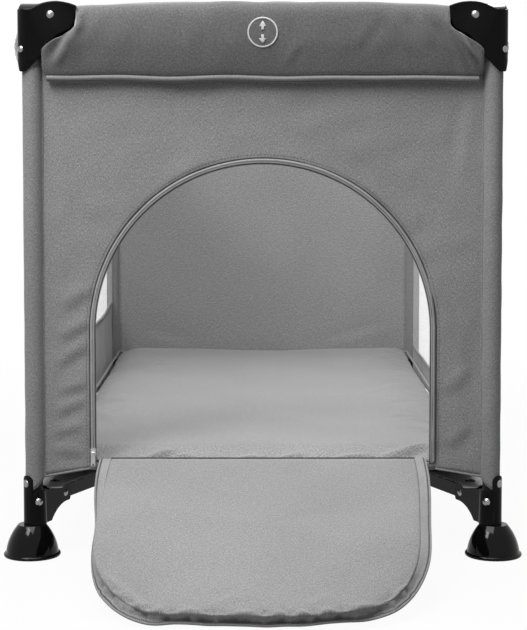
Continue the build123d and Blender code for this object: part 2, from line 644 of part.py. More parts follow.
def latch(middle):
    """Rail lock with its two pivot pins: a block with a button bore between two forks open above."""
    inner_half = RAIL_TUBE_RADIUS + SWING_GAP
    floor = RAIL_AXIS_HEIGHT - RAIL_TUBE_RADIUS - SWING_GAP
    under = floor - LATCH_WALL
    block_half = LATCH_PIVOT - RAIL_TUBE_RADIUS - SWING_GAP
    end = LATCH_PIVOT + LATCH_END
    top = RAIL_AXIS_HEIGHT + LATCH_TOP_RISE
    block_bottom = RAIL_AXIS_HEIGHT - LATCH_BLOCK_DROP
    bore_depth = BUTTON_LENGTH - BUTTON_PROUD + BUTTON_TRAVEL + SEAT_GAP
    with BuildPart() as body:
        with BuildSketch(middle):
            with BuildLine():
                Polyline(
                    (-end, under),
                    (-block_half, under),
                    (6 - block_half, block_bottom),
                    (block_half - 6, block_bottom),
                    (block_half, under),
                    (end, under),
                    (end, top - 4),
                    (block_half, top),
                    (-block_half, top),
                    (-end, top - 4),
                    close=True,
                )
            make_face()
        extrude(amount=LATCH_HALF, both=True)
        fillet(body.edges().filter_by(Axis((0, 0, 0), middle.z_dir)), radius=2)
        fork_middle = (block_half + end + 1) / 2
        with BuildSketch(middle):
            for side in (-1, 1):
                with Locations((side * fork_middle, (floor + top + 1) / 2)):
                    Rectangle(end + 1 - block_half, top + 1 - floor)
        extrude(amount=inner_half, both=True, mode=Mode.SUBTRACT)
        with BuildSketch(middle):
            with Locations((LATCH_PIVOT, RAIL_AXIS_HEIGHT), (-LATCH_PIVOT, RAIL_AXIS_HEIGHT)):
                Circle(PIN_HOLE)
        extrude(amount=LATCH_HALF + 1, both=True, mode=Mode.SUBTRACT)
        with BuildSketch(middle.offset(LATCH_HALF)):
            with Locations((0, RAIL_AXIS_HEIGHT - BUTTON_DROP)):
                Circle(BUTTON_RADIUS + FABRIC_GAP)
        extrude(amount=-bore_depth, mode=Mode.SUBTRACT)
    pins = []
    for side in (-1, 1):
        centre = middle.from_local_coords((side * LATCH_PIVOT, RAIL_AXIS_HEIGHT, 0))
        pins.append(Plane(centre, z_dir=middle.z_dir) * flush_pin(LATCH_HALF))
    return Compound(children=[body.part, *pins])


def flush_pin(half_length):
    """A headless pin along Z about the origin."""
    with BuildPart() as plain:
        with BuildSketch(Plane.XY.offset(-half_length)):
            Circle(PIN_RADIUS)
        extrude(amount=2 * half_length)
    return plain.part


def button(middle):
    """Push button in the outer face of a rail lock."""
    with BuildPart() as cap:
        with BuildSketch(middle.offset(LATCH_HALF + BUTTON_PROUD)):
            with Locations((0, RAIL_AXIS_HEIGHT - BUTTON_DROP)):
                Circle(BUTTON_RADIUS)
        extrude(amount=-BUTTON_LENGTH)
        outer_face = cap.faces().sort_by(lambda f: abs(f.center().X) + abs(f.center().Y))[-1]
        fillet(outer_face.edges(), radius=1.2)
    return cap.part


def bracket_room(along):
    """The room that a rail cover leaves for the bracket at its right back end, and above it."""
    outline = wing_outline(along, grow=FABRIC_GAP)
    height = WING_HUMP_RISE + 2 * SWING_GAP
    with BuildPart() as room:
        extrude(outline, amount=2 * COVER_HALF_WIDTH, both=True)
        with BuildSketch(along):
            with Locations((WING_LENGTH / 2, RAIL_AXIS_HEIGHT + height / 2)):
                Rectangle(WING_LENGTH + 2 * FABRIC_GAP, height)
        extrude(amount=2 * COVER_HALF_WIDTH, both=True)
    return room.part


def rail_cover(profile_plane, half_length, rooms):
    """Padded cover over a whole rail: a rounded top and sides that narrow to the hem, hollow inside."""
    axis = RAIL_AXIS_HEIGHT
    top = axis + COVER_TOP_RISE
    hem = top - COVER_DEPTH
    rail_half = LATCH_HALF + SWING_GAP
    rail_under = axis - RAIL_TUBE_RADIUS
    rail_over = axis + LATCH_TOP_RISE + SWING_GAP
    block_half = rail_half + BUTTON_PROUD
    block_under = axis - LATCH_BLOCK_DROP - 4 * SWING_GAP
    slot_half = WALL_THICKNESS / 2 + FABRIC_GAP
    with BuildPart() as cover:
        with BuildSketch(profile_plane):
            with BuildLine():
                shoulder = (COVER_HALF_WIDTH, axis)
                other_shoulder = (-COVER_HALF_WIDTH, axis)
                belly = (COVER_HALF_WIDTH - COVER_BELLY_INSET, axis - COVER_BELLY_SHARE * COVER_DEPTH)
                hem_end = (COVER_HEM_HALF_WIDTH, hem)
                ThreePointArc(other_shoulder, (0, top), shoulder)
                ThreePointArc(shoulder, belly, hem_end)
                Line(hem_end, (-hem_end[0], hem))
                ThreePointArc((-hem_end[0], hem), (-belly[0], belly[1]), other_shoulder)
            make_face()
            # room for the rail and its lock, for the lock's block and buttons, and for the wall
            with Locations((0, (rail_under + rail_over) / 2)):
                Rectangle(2 * rail_half, rail_over - rail_under, mode=Mode.SUBTRACT)
            with Locations((0, (block_under + rail_under) / 2)):
                Rectangle(2 * block_half, rail_under - block_under, mode=Mode.SUBTRACT)
            with Locations((0, (hem - 1 + block_under) / 2)):
                Rectangle(2 * slot_half, block_under - hem + 2, mode=Mode.SUBTRACT)
        extrude(amount=half_length, both=True)
        add(rooms, mode=Mode.SUBTRACT)
    return cover.part


def doorway(inset, bottom, spring):
    """Arched outline inside the doorway, drawn in the sketch's own X and Y."""
    half = DOORWAY_HALF_WIDTH - inset
    with BuildSketch(mode=Mode.PRIVATE) as arch:
        with BuildLine():
            Polyline((-half, spring), (-half, bottom), (half, bottom), (half, spring))
            ThreePointArc((half, spring), (0, spring + half), (-half, spring))
        make_face()
    return arch.sketch


def end_wall(opening=None):
    """Fabric end wall at the back with its two leg sleeves, with a doorway where one is given."""
    sleeve_bottom = BAR_AXIS_HEIGHT + NECK_TOP_RISE + 2 * FABRIC_GAP
    panel_half = LEG_X - SLEEVE_INNER_RADIUS - SLEEVE_THICKNESS / 2
    with BuildPart() as wall:
        with BuildSketch(BACK_MIDDLE):
            with Locations((0, (WALL_BOTTOM + WALL_TOP) / 2)):
                Rectangle(2 * panel_half, WALL_TOP - WALL_BOTTOM)
            if opening:
                add(opening, mode=Mode.SUBTRACT)
        extrude(amount=WALL_THICKNESS / 2, both=True)
        with BuildSketch(Plane.XY.offset(sleeve_bottom)):
            with Locations((LEG_X, LEG_Y), (-LEG_X, LEG_Y)):
                Circle(SLEEVE_RADIUS)
                Circle(SLEEVE_INNER_RADIUS, mode=Mode.SUBTRACT)
        extrude(amount=SLEEVE_TOP - sleeve_bottom)
        _, height, seat = fixing_rivets()[1]
        for side in (-1, 1):
            with BuildSketch(Plane((side * LEG_X, LEG_Y, height), z_dir=(side, 1, 0))):
                Circle(PIN_HOLE + FABRIC_GAP)
            extrude(amount=seat, mode=Mode.SUBTRACT)
    return wall.part


def side_band(top):
    """Fabric band along the foot of the right side wall."""
    half = LEG_Y - SLEEVE_RADIUS - FABRIC_GAP
    with BuildPart() as band:
        with BuildSketch(RIGHT_MIDDLE):
            with Locations((0, (SIDE_WALL_BOTTOM + top) / 2)):
                Rectangle(2 * half, top - SIDE_WALL_BOTTOM)
        extrude(amount=WALL_THICKNESS / 2, both=True)
    return band.part


def side_net(bottom):
    """Flat net of the right side wall, from its band up into the rail cover."""
    width = 2 * (LEG_Y - SLEEVE_RADIUS - FABRIC_GAP)
    height = WALL_TOP - bottom
    step_along = (width - 2 * NET_HEM) / NET_COLUMNS
    step_up = (height - 2 * NET_HEM) / NET_ROWS
    with BuildPart() as net:
        with BuildSketch(RIGHT_MIDDLE):
            with Locations((0, bottom + height / 2)):
                Rectangle(width, height)
                with GridLocations(step_along, step_up, NET_COLUMNS, NET_ROWS):
                    Rectangle(step_along - NET_CORD, step_up - NET_CORD, mode=Mode.SUBTRACT)
        extrude(amount=WALL_THICKNESS / 2, both=True)
    return net.part


def zip_track():
    """Zip band round the doorway, down to the sill on both sides."""
    outer = doorway(SEAT_GAP, SILL + SEAT_GAP, DOORWAY_SPRING_HEIGHT)
    inner = doorway(ZIP_WIDTH, SILL - 1, DOORWAY_SPRING_HEIGHT)
    with BuildPart() as track:
        with BuildSketch(FRONT_MIDDLE):
            add(outer)
            add(inner, mode=Mode.SUBTRACT)
        extrude(amount=ZIP_THICKNESS / 2, both=True)
    return track.part


def door():
    """Padded door panel, open on its sill, with a rounded root on the hinge line."""
    spring = DOORWAY_SPRING_HEIGHT - HINGE_HEIGHT
    inset = ZIP_WIDTH + DOOR_GAP + DOOR_TAPE_WIDTH + SEAT_GAP
    outline = doorway(inset, -DOOR_THICKNESS / 2, spring)
    with BuildPart() as panel:
        with BuildSketch(DOOR_PLANE):
            add(outline)
        extrude(amount=DOOR_THICKNESS / 2, both=True)
        fillet(panel.edges(), radius=0.4 * DOOR_THICKNESS)
    return panel.part


def door_tape():
    """The door's own half of the zip, sewn along its free edge."""
    spring = DOORWAY_SPRING_HEIGHT - HINGE_HEIGHT
    root = DOOR_THICKNESS / 2
    outer = doorway(ZIP_WIDTH + DOOR_GAP, root, spring)
    inner = doorway(ZIP_WIDTH + DOOR_GAP + DOOR_TAPE_WIDTH, root - 1, spring)
    with BuildPart() as tape:
        with BuildSketch(DOOR_PLANE):
            add(outer)
            add(inner, mode=Mode.SUBTRACT)
        extrude(amount=DOOR_TAPE_THICKNESS / 2, both=True)
    return tape.part


def zip_slider():
    """Zip slider at the left foot of the zip, with two ears that hold the puller's pin."""
    front = ZIP_THICKNESS / 2 + SEAT_GAP
    with BuildPart() as slider:
        with BuildSketch(SLIDER_PLANE.offset(front)):
            RectangleRounded(SLIDER_WIDTH, SLIDER_HEIGHT, 2)
        extrude(amount=SLIDER_THICKNESS)
        with BuildSketch(SLIDER_PLANE.offset(front + SLIDER_THICKNESS)):
            with GridLocations(2 * EAR_PLACE, 0, 2, 1):
                Rectangle(EAR_WIDTH, 4 * PULLER_PIN_RADIUS)
        extrude(amount=4 * PULLER_PIN_RADIUS)
        with BuildSketch(PULLER_PIN_PLANE):
            Circle(PULLER_PIN_RADIUS)
        extrude(amount=EAR_PLACE, both=True)
    return slider.part


def zip_puller():
    """Puller that hangs from the slider: an eye round the pin, a neck and a blade with a hole."""
    eye = 2 * PULLER_PIN_RADIUS
    with BuildPart() as puller:
        with BuildSketch(PULLER_PIN_PLANE):
            Circle(eye)
        extrude(amount=EYE_WIDTH / 2, both=True)
        blade = Plane(PULLER_PIN_PLANE.origin, x_dir=(1, 0, 0), z_dir=(0, -1, 0))
        with BuildSketch(blade):
            with Locations((0, -eye)):
                Rectangle(EYE_WIDTH, 2 * eye)
            with Locations((0, -2 * eye - PULLER_LENGTH / 2)):
                RectangleRounded(PULLER_WIDTH, PULLER_LENGTH, 2)
        extrude(amount=PULLER_THICKNESS / 2, both=True)
        with BuildSketch(blade):
            with Locations((0, -eye - PULLER_LENGTH)):
                Circle(PULLER_WIDTH / 4)
        extrude(amount=PULLER_THICKNESS, both=True, mode=Mode.SUBTRACT)
        with BuildSketch(PULLER_PIN_PLANE):
            Circle(PULLER_PIN_RADIUS + PIN_CLEARANCE)
        extrude(amount=EYE_WIDTH, both=True, mode=Mode.SUBTRACT)
    return puller.part


def end_hollow(end):
    """The hollow at one end of the floor sheet: its sides follow the two bars there."""
    side = BAR_WIDTH / 2 + SHEET_OVERHANG
    start = (FOOT_PIVOT[0] - side * BAR_Y, FOOT_PIVOT[1] + side * BAR_X)
    outer_y = LEG_Y
    inner_y = LEG_Y - SHEET_MARGIN - SHEET_HOLLOW_DEPTH
    outer_x, inner_x = [start[0] + (y - start[1]) * BAR_X / BAR_Y for y in (outer_y, inner_y)]
    corners = [(outer_x, outer_y), (inner_x, inner_y), (-inner_x, inner_y), (-outer_x, outer_y)]
    with BuildSketch() as hollow:
        Polygon([(x, end * y) for x, y in corners], align=None)
        for x in (-inner_x, inner_x):
            inner_corner = hollow.vertices().sort_by_distance((x, end * inner_y))[0]
            fillet(inner_corner, radius=SHEET_HOLLOW_RADIUS)
    return hollow.sketch


def floor_sheet():
    """Floor sheet over the hub, cut round the legs and bars, with eyelets by the feet and a strap slot."""
    half_x = LEG_X - SHEET_MARGIN
    half_y = LEG_Y - SHEET_MARGIN
    eyelet_x = half_x - 2 * EYELET_RADIUS
    eyelet_y = FOOT_PIVOT[1]
    with BuildPart() as sheet:
        with BuildSketch(Plane.XY.offset(SHEET_BOTTOM)):
            Rectangle(2 * half_x, 2 * half_y)
            with GridLocations(2 * LEG_X, 2 * LEG_Y, 2, 2):
                Circle(SLEEVE_RADIUS + FABRIC_GAP, mode=Mode.SUBTRACT)
            with GridLocations(2 * eyelet_x, 2 * eyelet_y, 2, 2):
                Circle(EYELET_RADIUS, mode=Mode.SUBTRACT)
            SlotOverall(STRAP_LENGTH + STRAP_WIDTH, 1.3 * STRAP_WIDTH, mode=Mode.SUBTRACT)
            for end in (-1, 1):
                add(end_hollow(end), mode=Mode.SUBTRACT)
        extrude(amount=SHEET_THICKNESS)
    return sheet.part


def cushion_outline(inset):
    """Plan of the mattress at one level, with sides drawn in between the corners."""
    x = LEG_X - MATTRESS_MARGIN - inset
    y = LEG_Y - MATTRESS_MARGIN - inset
    drawn = MATTRESS_DRAWN_IN
    ThreePointArc((-x, -y), (0, drawn - y), (x, -y))
    ThreePointArc((x, -y), (x - drawn, 0), (x, y))
    ThreePointArc((x, y), (0, y - drawn), (-x, y))
    ThreePointArc((-x, y), (drawn - x, 0), (-x, -y))


def mattress():
    """Crowned mattress with rounded edges."""
    bottom = SHEET_BOTTOM + SHEET_THICKNESS + FABRIC_GAP
    edge = MATTRESS_EDGE_HEIGHT
    levels = [
        (0, MATTRESS_ROUNDING),
        (MATTRESS_ROUNDING, 0),
        (edge - MATTRESS_ROUNDING, 0),
        (edge, MATTRESS_ROUNDING),
        (edge + 0.7 * MATTRESS_CROWN, 8 * MATTRESS_ROUNDING),
        (edge + MATTRESS_CROWN, 20 * MATTRESS_ROUNDING),
    ]
    with BuildPart() as pad:
        for rise, inset in levels:
            with BuildSketch(Plane.XY.offset(bottom + rise)):
                with BuildLine():
                    cushion_outline(inset)
                make_face()
        loft(ruled=True)
    return pad.part


os.makedirs("parts", exist_ok=True)

# Corner pieces
write_at_corners(leg_tube(), "leg_tube")
write_at_corners(bracket(), "bracket")
write_at_corners(foot(), "foot")
write_at_corners(suction_cup(), "suction_cup")
write_at_corners(corner_rivets(), "rivets")
write_at_corners(floor_bar(), "floor_bar")
write_at_corners(half_rail(END_PLANE, END_REACH), "end_rail")
write_at_corners(half_rail(SIDE_PLANE, SIDE_REACH), "side_rail")

# Middle of the frame
write(hub(), "hub")
write(hub_pins(), "hub_pins")
write(pull_strap(), "pull_strap")

# Rail locks, buttons and covers
END_ROOM = bracket_room(END_PLANE)
SIDE_ROOM = bracket_room(SIDE_PLANE)
END_PROFILE = Plane((0, LEG_Y, 0), x_dir=(0, 1, 0), z_dir=(1, 0, 0))
SIDE_PROFILE = Plane((LEG_X, 0, 0), x_dir=(1, 0, 0), z_dir=(0, -1, 0))
END_ROOMS = [END_ROOM, mirror(END_ROOM, about=Plane.YZ)]
SIDE_ROOMS = [SIDE_ROOM, mirror(SIDE_ROOM, about=Plane.XZ)]
END_COVER = rail_cover(END_PROFILE, LEG_X - COVER_INSET, END_ROOMS)
SIDE_COVER = rail_cover(SIDE_PROFILE, LEG_Y - COVER_INSET, SIDE_ROOMS)
for name, end_piece, side_piece in (
    ("latch", latch(BACK_MIDDLE), latch(RIGHT_MIDDLE)),
    ("button", button(BACK_MIDDLE), button(RIGHT_MIDDLE)),
    ("rail_cover", END_COVER, SIDE_COVER),
):
    write(end_piece, f"back_{name}")
    write(mirror(end_piece, about=Plane.XZ), f"front_{name}")
    write(side_piece, f"right_{name}")
    write(mirror(side_piece, about=Plane.YZ), f"left_{name}")

# Walls
write(end_wall(), "back_wall")
write(mirror(end_wall(doorway(0, SILL, DOORWAY_SPRING_HEIGHT)), about=Plane.XZ), "front_wall")
write(side_band(RIGHT_BAND_TOP), "right_band")
write(mirror(side_band(LEFT_BAND_TOP), about=Plane.YZ), "left_band")
write(side_net(RIGHT_BAND_TOP + SEAT_GAP), "right_net")
write(mirror(side_net(LEFT_BAND_TOP + SEAT_GAP), about=Plane.YZ), "left_net")

# Door and zip
write(zip_track(), "zip_track")
write(zip_slider(), "zip_slider")
write(zip_puller(), "zip_puller")
write(door(), "door")
write(door_tape(), "door_tape")

# Floor
write(floor_sheet(), "floor_sheet")
write(mattress(), "mattress")
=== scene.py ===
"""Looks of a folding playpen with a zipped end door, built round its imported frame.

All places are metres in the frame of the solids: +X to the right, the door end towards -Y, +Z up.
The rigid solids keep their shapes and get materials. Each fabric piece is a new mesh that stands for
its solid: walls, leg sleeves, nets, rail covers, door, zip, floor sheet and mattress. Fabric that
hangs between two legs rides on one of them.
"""

import math

import bpy
import numpy as np
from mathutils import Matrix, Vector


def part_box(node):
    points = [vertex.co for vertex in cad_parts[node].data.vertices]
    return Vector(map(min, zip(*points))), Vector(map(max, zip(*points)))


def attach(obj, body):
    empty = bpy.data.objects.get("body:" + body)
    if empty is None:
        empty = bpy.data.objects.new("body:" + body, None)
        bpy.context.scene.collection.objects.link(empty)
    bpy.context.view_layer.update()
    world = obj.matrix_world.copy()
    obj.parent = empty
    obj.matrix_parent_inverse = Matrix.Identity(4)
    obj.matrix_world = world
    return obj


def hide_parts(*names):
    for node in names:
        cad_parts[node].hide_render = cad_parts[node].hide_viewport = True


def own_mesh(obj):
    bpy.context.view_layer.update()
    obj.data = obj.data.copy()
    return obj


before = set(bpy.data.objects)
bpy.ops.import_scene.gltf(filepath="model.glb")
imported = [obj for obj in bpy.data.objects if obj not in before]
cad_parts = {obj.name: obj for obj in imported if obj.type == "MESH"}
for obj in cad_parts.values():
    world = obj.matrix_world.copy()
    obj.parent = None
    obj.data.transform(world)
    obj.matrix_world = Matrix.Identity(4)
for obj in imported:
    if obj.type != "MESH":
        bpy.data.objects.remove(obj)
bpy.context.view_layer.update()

# Places taken from the frame, to a tenth of a millimetre
leg_low, leg_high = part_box("front_right_leg_tube")
wall_low, wall_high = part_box("front_wall")
button_low, button_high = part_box("front_button")
LEG_X = round((leg_low.x + leg_high.x) / 2, 4)
LEG_Y = round(-(leg_low.y + leg_high.y) / 2, 4)
SLEEVE_RADIUS = round(wall_high.x - LEG_X, 4)
SLEEVE_BOTTOM = round(wall_low.z, 4)
BUTTON_HEIGHT = round((button_low.z + button_high.z) / 2, 4)
LEFT_BAND_TOP = round(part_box("left_band")[1].z, 4)
RIGHT_BAND_TOP = round(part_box("right_band")[1].z, 4)
MATTRESS_X = round(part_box("mattress")[1].x, 4)
MATTRESS_Y = round(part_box("mattress")[1].y, 4)
CORNERS = {"front_left": (-1, -1), "front_right": (1, -1), "back_left": (-1, 1), "back_right": (1, 1)}

# Sizes of the fabric, which lies on the solids or stands for them
SLEEVE_SLANT = 0.011
SLEEVE_TOP = 0.680
WALL_EDGE = LEG_X - SLEEVE_RADIUS
WALL_TOP = 0.690
HEM_AT_LEG = 0.108
HEM_AT_DOOR = 0.119
SILL = 0.1265
HINGE_HEIGHT = 0.130
DOORWAY_RADIUS = 0.236
DOORWAY_SPRING = 0.308
ZIP_WIDTH = 0.008
DOOR_SLOPE = math.radians(16)
DOOR_ROOT = 0.208
DOOR_SIDE = 0.2125
DOOR_SPRING = DOORWAY_SPRING - HINGE_HEIGHT
DOOR_END = 0.394
DOOR_SQUARENESS = 2.9
DOOR_STRIP = 0.0165
SIDE_HEM = 0.0918
COVER_TOP = 0.7545
COVER_HEM = 0.6475
COVER_SEAM = 0.6560
COVER_LEAN_TOP = 0.668
COVER_LOOSE_TOP = 0.675
COVER_SHOULDER = 0.700
COVER_MIDDLE = 0.705
COVER_WING_END = 0.0615
COVER_END = 0.0155
WING_END_UNDER = 0.726
WING_KNEE_UNDER = 0.688
SHEET_TOP = 0.0902
SHEET_HALF_WIDTH = 0.3105
SHEET_END = 0.600
SHEET_INNER_END = 0.425
EYELET_PLACE = (0.292, 0.5557)
BAR_ALONG = (0.40217, 0.91557)
BAR_SIDE = (0.27475, 0.56136)

# How far the fabric would be drawn together when the frame is folded flat, kept in each piece's gather but
# not applied here
KEEP_END = 0.3266
KEEP_SIDE = 0.2178
KEEP_END_COVER = 0.16
KEEP_SIDE_COVER = 0.13
KEEP_FLOOR = 0.12
END_COVER_ANCHOR = LEG_X - 0.0625
SIDE_COVER_ANCHOR = LEG_Y - 0.0625

# Sewing
CLOTH_THICKNESS = 0.0016
HEM_RADIUS = 0.0016
COVER_LEAN = 0.006
TOOTH_PITCH = 0.0026
TOOTH_SIZE = (0.0015, 0.0020, 0.0011)

# Studio
CAMERA_PLACE = (0.001, -2.9285, 0.573)
CAMERA_PITCH = math.radians(3.44)
CAMERA_LENS = 97.4
CAMERA_SHIFT = -0.12
WORLD_LIGHT = 0.22


# Materials


def shader(name, colour, roughness):
    """A new material with one main shader. Returns the material, its tree and that shader."""
    material = bpy.data.materials.new(name)
    material.use_nodes = True
    main = material.node_tree.nodes["Principled BSDF"]
    main.inputs["Base Color"].default_value = (colour, colour, colour, 1)
    main.inputs["Roughness"].default_value = roughness
    return material, material.node_tree, main


def node(tree, kind, **values):
    """A new node with some inputs or properties set by name. A socket given as a value is linked."""
    made = tree.nodes.new(kind)
    for name, value in values.items():
        if name not in made.inputs:
            setattr(made, name, value)
        elif isinstance(value, bpy.types.NodeSocket):
            tree.links.new(value, made.inputs[name])
        else:
            made.inputs[name].default_value = value
    return made


def ramp(tree, source, low, high, dark, light):
    """A ramp of greys between two levels of a source socket."""
    made = node(tree, "ShaderNodeValToRGB", Fac=source)
    for stop, level, grey in zip(made.color_ramp.elements, (low, high), (dark, light)):
        stop.position = level
        stop.color = (grey, grey, grey, 1)
    return made.outputs["Color"]


def multiply(tree, first, second):
    """Product of two colour sockets."""
    mix = node(tree, "ShaderNodeMix", data_type="RGBA", blend_type="MULTIPLY", Factor=1, A=first, B=second)
    return mix.outputs["Result"]


def arithmetic(tree, operation, first, second):
    """A sum, product or other operation on two number sockets."""
    made = node(tree, "ShaderNodeMath", operation=operation)
    tree.links.new(first, made.inputs[0])
    tree.links.new(second, made.inputs[1])
    return made.outputs["Value"]


def raised(tree, main, height, strength, distance):
    """Fine relief on a main shader, from a height socket."""
    bump = node(tree, "ShaderNodeBump", Strength=strength, Distance=distance, Height=height)
    tree.links.new(bump.outputs["Normal"], main.inputs["Normal"])


def fabric(name, grey, thread=0.0012, heather=0.38, sheen=0.2):
    """Heather woven cloth: flecked threads along the cloth's own length and width, in metres."""
    material, tree, main = shader(name, grey, 0.9)
    main.inputs["Sheen Weight"].default_value = sheen
    main.inputs["Sheen Roughness"].default_value = 0.45
    main.inputs["Specular IOR Level"].default_value = 0.2
    cloth = node(tree, "ShaderNodeUVMap", uv_map="cloth").outputs["UV"]
    # flecks of paler and darker yarn along the weft and the warp, and broader streaks
    yarns = (
        ((380, 1150, 1), 3.0, heather),
        ((1050, 340, 1), 2.0, heather),
        ((110, 420, 1), 1.0, 0.2 * heather),
    )
    flecks = []
    for stretch, detail, depth in yarns:
        placed = node(tree, "ShaderNodeMapping", Vector=cloth, Scale=stretch).outputs["Vector"]
        fleck = node(tree, "ShaderNodeTexNoise", Vector=placed, Scale=1.0, Detail=detail, Roughness=0.7)
        flecks.append(ramp(tree, fleck.outputs["Fac"], 0.3, 0.7, 1 - depth, 1 + depth))
    patch = node(tree, "ShaderNodeTexNoise", Vector=cloth, Scale=7.0, Detail=2.0)
    uneven = ramp(tree, patch.outputs["Fac"], 0.25, 0.75, 0.95 * grey, 1.05 * grey)
    colour = multiply(tree, multiply(tree, flecks[0], flecks[1]), multiply(tree, flecks[2], uneven))
    tree.links.new(colour, main.inputs["Base Color"])
    # the threads themselves stand up a little
    threads = []
    for way in ("X", "Y"):
        wave = node(tree, "ShaderNodeTexWave", Vector=cloth, bands_direction=way, Distortion=0.6)
        wave.inputs["Scale"].default_value = 0.314 / thread
        threads.append(wave.outputs["Color"])
    raised(tree, main, multiply(tree, *threads), 0.2, 0.0004)
    return material


def moulded(name, grey, roughness, shine, grain=900.0):
    """Moulded plastic, rubber or paint: a fine grain, uneven gloss and edges rubbed slightly paler."""
    material, tree, main = shader(name, grey, roughness)
    main.inputs["Specular IOR Level"].default_value = shine
    place = node(tree, "ShaderNodeTexCoord").outputs["Object"]
    smear = node(tree, "ShaderNodeTexNoise", Vector=place, Scale=45.0, Detail=4.0)
    speck = node(tree, "ShaderNodeTexNoise", Vector=place, Scale=grain, Detail=2.0)
    uneven = ramp(tree, smear.outputs["Fac"], 0.3, 0.75, 0.75 * roughness, 1.3 * roughness)
    tree.links.new(uneven, main.inputs["Roughness"])
    edges = node(tree, "ShaderNodeNewGeometry").outputs["Pointiness"]
    rubbed = ramp(tree, edges, 0.52, 0.64, grey, 1.6 * grey + 0.004)
    tree.links.new(rubbed, main.inputs["Base Color"])
    raised(tree, main, speck.outputs["Fac"], 0.25, 0.00004)
    return material


def bright_metal(name, grey):
    """Turned or pressed bright metal with fine scratches."""
    material, tree, main = shader(name, grey, 0.25)
    main.inputs["Metallic"].default_value = 1
    place = node(tree, "ShaderNodeTexCoord").outputs["Object"]
    stretched = node(tree, "ShaderNodeMapping", Vector=place, Scale=(1600, 1600, 90)).outputs["Vector"]
    scratch = node(tree, "ShaderNodeTexNoise", Vector=stretched, Scale=1.0, Detail=3.0).outputs["Fac"]
    uneven = ramp(tree, scratch, 0.3, 0.7, 0.16, 0.4)
    tree.links.new(uneven, main.inputs["Roughness"])
    worn = ramp(tree, scratch, 0.2, 0.8, 0.8 * grey, min(1, 1.1 * grey))
    tree.links.new(worn, main.inputs["Base Color"])
    return material


def white_net(name):
    """Fine white net: crossing threads with gaps that let the light through."""
    material, tree, main = shader(name, 0.93, 0.8)
    main.inputs["Sheen Weight"].default_value = 0.2
    cloth = node(tree, "ShaderNodeUVMap", uv_map="cloth").outputs["UV"]
    threads = []
    for turn in (45, -45):
        turned = node(tree, "ShaderNodeMapping", Vector=cloth, Rotation=(0, 0, math.radians(turn)))
        wave = node(tree, "ShaderNodeTexWave", Vector=turned.outputs["Vector"], Scale=105.0)
        threads.append(wave.outputs["Fac"])
    either = arithmetic(tree, "MAXIMUM", *threads)
    tree.links.new(ramp(tree, either, 0.45, 0.75, 0.06, 0.6), main.inputs["Alpha"])
    raised(tree, main, either, 0.4, 0.0005)
    return material


WALL_CLOTH = fabric("wall_cloth", 0.192)
BACK_CLOTH = fabric("back_cloth", 0.215, heather=0.5)
SLEEVE_CLOTH = fabric("sleeve_cloth", 0.172)
COVER_CLOTH = fabric("cover_cloth", 0.088, heather=0.45, sheen=0.5)
HEM_CLOTH = fabric("hem_cloth", 0.17, heather=0.2)
DOOR_CLOTH = fabric("door_cloth", 0.162)
MATTRESS_CLOTH = fabric("mattress_cloth", 0.18, heather=0.6)
ZIP_CLOTH = fabric("zip_cloth", 0.25, thread=0.0006, heather=0.15)
STRIP_CLOTH = fabric("strip_cloth", 0.185, heather=0.25)
# the floor sheet's pale grey paints light onto it where it lies in the shade under the walls' hems
FLOOR_CLOTH_PAINTED_LIGHT = fabric("floor_cloth", 0.6, thread=0.0008, heather=0.15)
STRAP_CLOTH = fabric("strap_cloth", 0.02, thread=0.0016, heather=0.2)
# dark thread for the stitches; the zip's welts also use it as painted shade lines
DARK_THREAD_AND_SHADE = fabric("sewing_thread_and_shade", 0.03, thread=0.0004, heather=0.1)
# mid grey thread whose darkness paints the shade along the door panel's edge at its seam
SEAM_CORD_AND_SHADE = fabric("seam_thread_and_shade", 0.09, thread=0.0004, heather=0.1)
MARK_PRINT = fabric("mark_print", 0.42, heather=0.1)
NET = white_net("net")
PLASTIC = moulded("gloss_plastic", 0.002, 0.09, 0.06)
BUTTON_PLASTIC = moulded("button_plastic", 0.05, 0.3, 0.35)
RUBBER = moulded("cup_rubber", 0.002, 0.10, 0.14, grain=500.0)
PAINT = moulded("satin_paint", 0.003, 0.30, 0.08)
COIL = moulded("zip_coil", 0.08, 0.4, 0.3)
EYELET = moulded("eyelet_plastic", 0.003, 0.3, 0.15)
STEEL = bright_metal("rivet_steel", 0.26)
ZIP_METAL = bright_metal("zip_metal", 0.4)


# Mesh builders


def ripple(a, b, wavelength, seed):
    """Smooth random relief from about -1 to 1 over two coordinates, the same in every run."""
    random = np.random.default_rng(seed)
    total = np.zeros(np.broadcast(a, b).shape)
    for _ in range(9):
        turn, phase = random.uniform(0, 2 * np.pi, 2)
        rate = 2 * np.pi / (wavelength * random.uniform(0.7, 1.5))
        total += np.sin(rate * (a * np.cos(turn) + b * np.sin(turn)) + phase)
    return total / 3.5


def folds(a, b, marks):
    """Relief of sharp folds. A mark is its start, its end, its width and its height, all over (a, b)."""
    total = np.zeros(np.broadcast(a, b).shape)
    for start, end, width, height in marks:
        run = (end[0] - start[0], end[1] - start[1])
        length = math.hypot(*run)
        along = ((a - start[0]) * run[0] + (b - start[1]) * run[1]) / length**2
        across = ((a - start[0]) * run[1] - (b - start[1]) * run[0]) / (length * width)
        taper = np.exp(-(((along - 0.5) / 0.42) ** 4))
        total += height * taper * (np.exp(-(across**2)) - 0.7 * np.exp(-((across - 1.7) ** 2)))
    return total


def grid(x, y, z):
    """Points over a grid or along a line, from their three coordinates."""
    return np.stack(np.broadcast_arrays(x, y, z), axis=-1)


def add_object(name, data):
    """A new object in the scene."""
    made = bpy.data.objects.new(name, data)
    bpy.context.scene.collection.objects.link(made)
    return made


def dress(mesh, material):
    """Give a mesh one material."""
    mesh.materials.clear()
    mesh.materials.append(material)


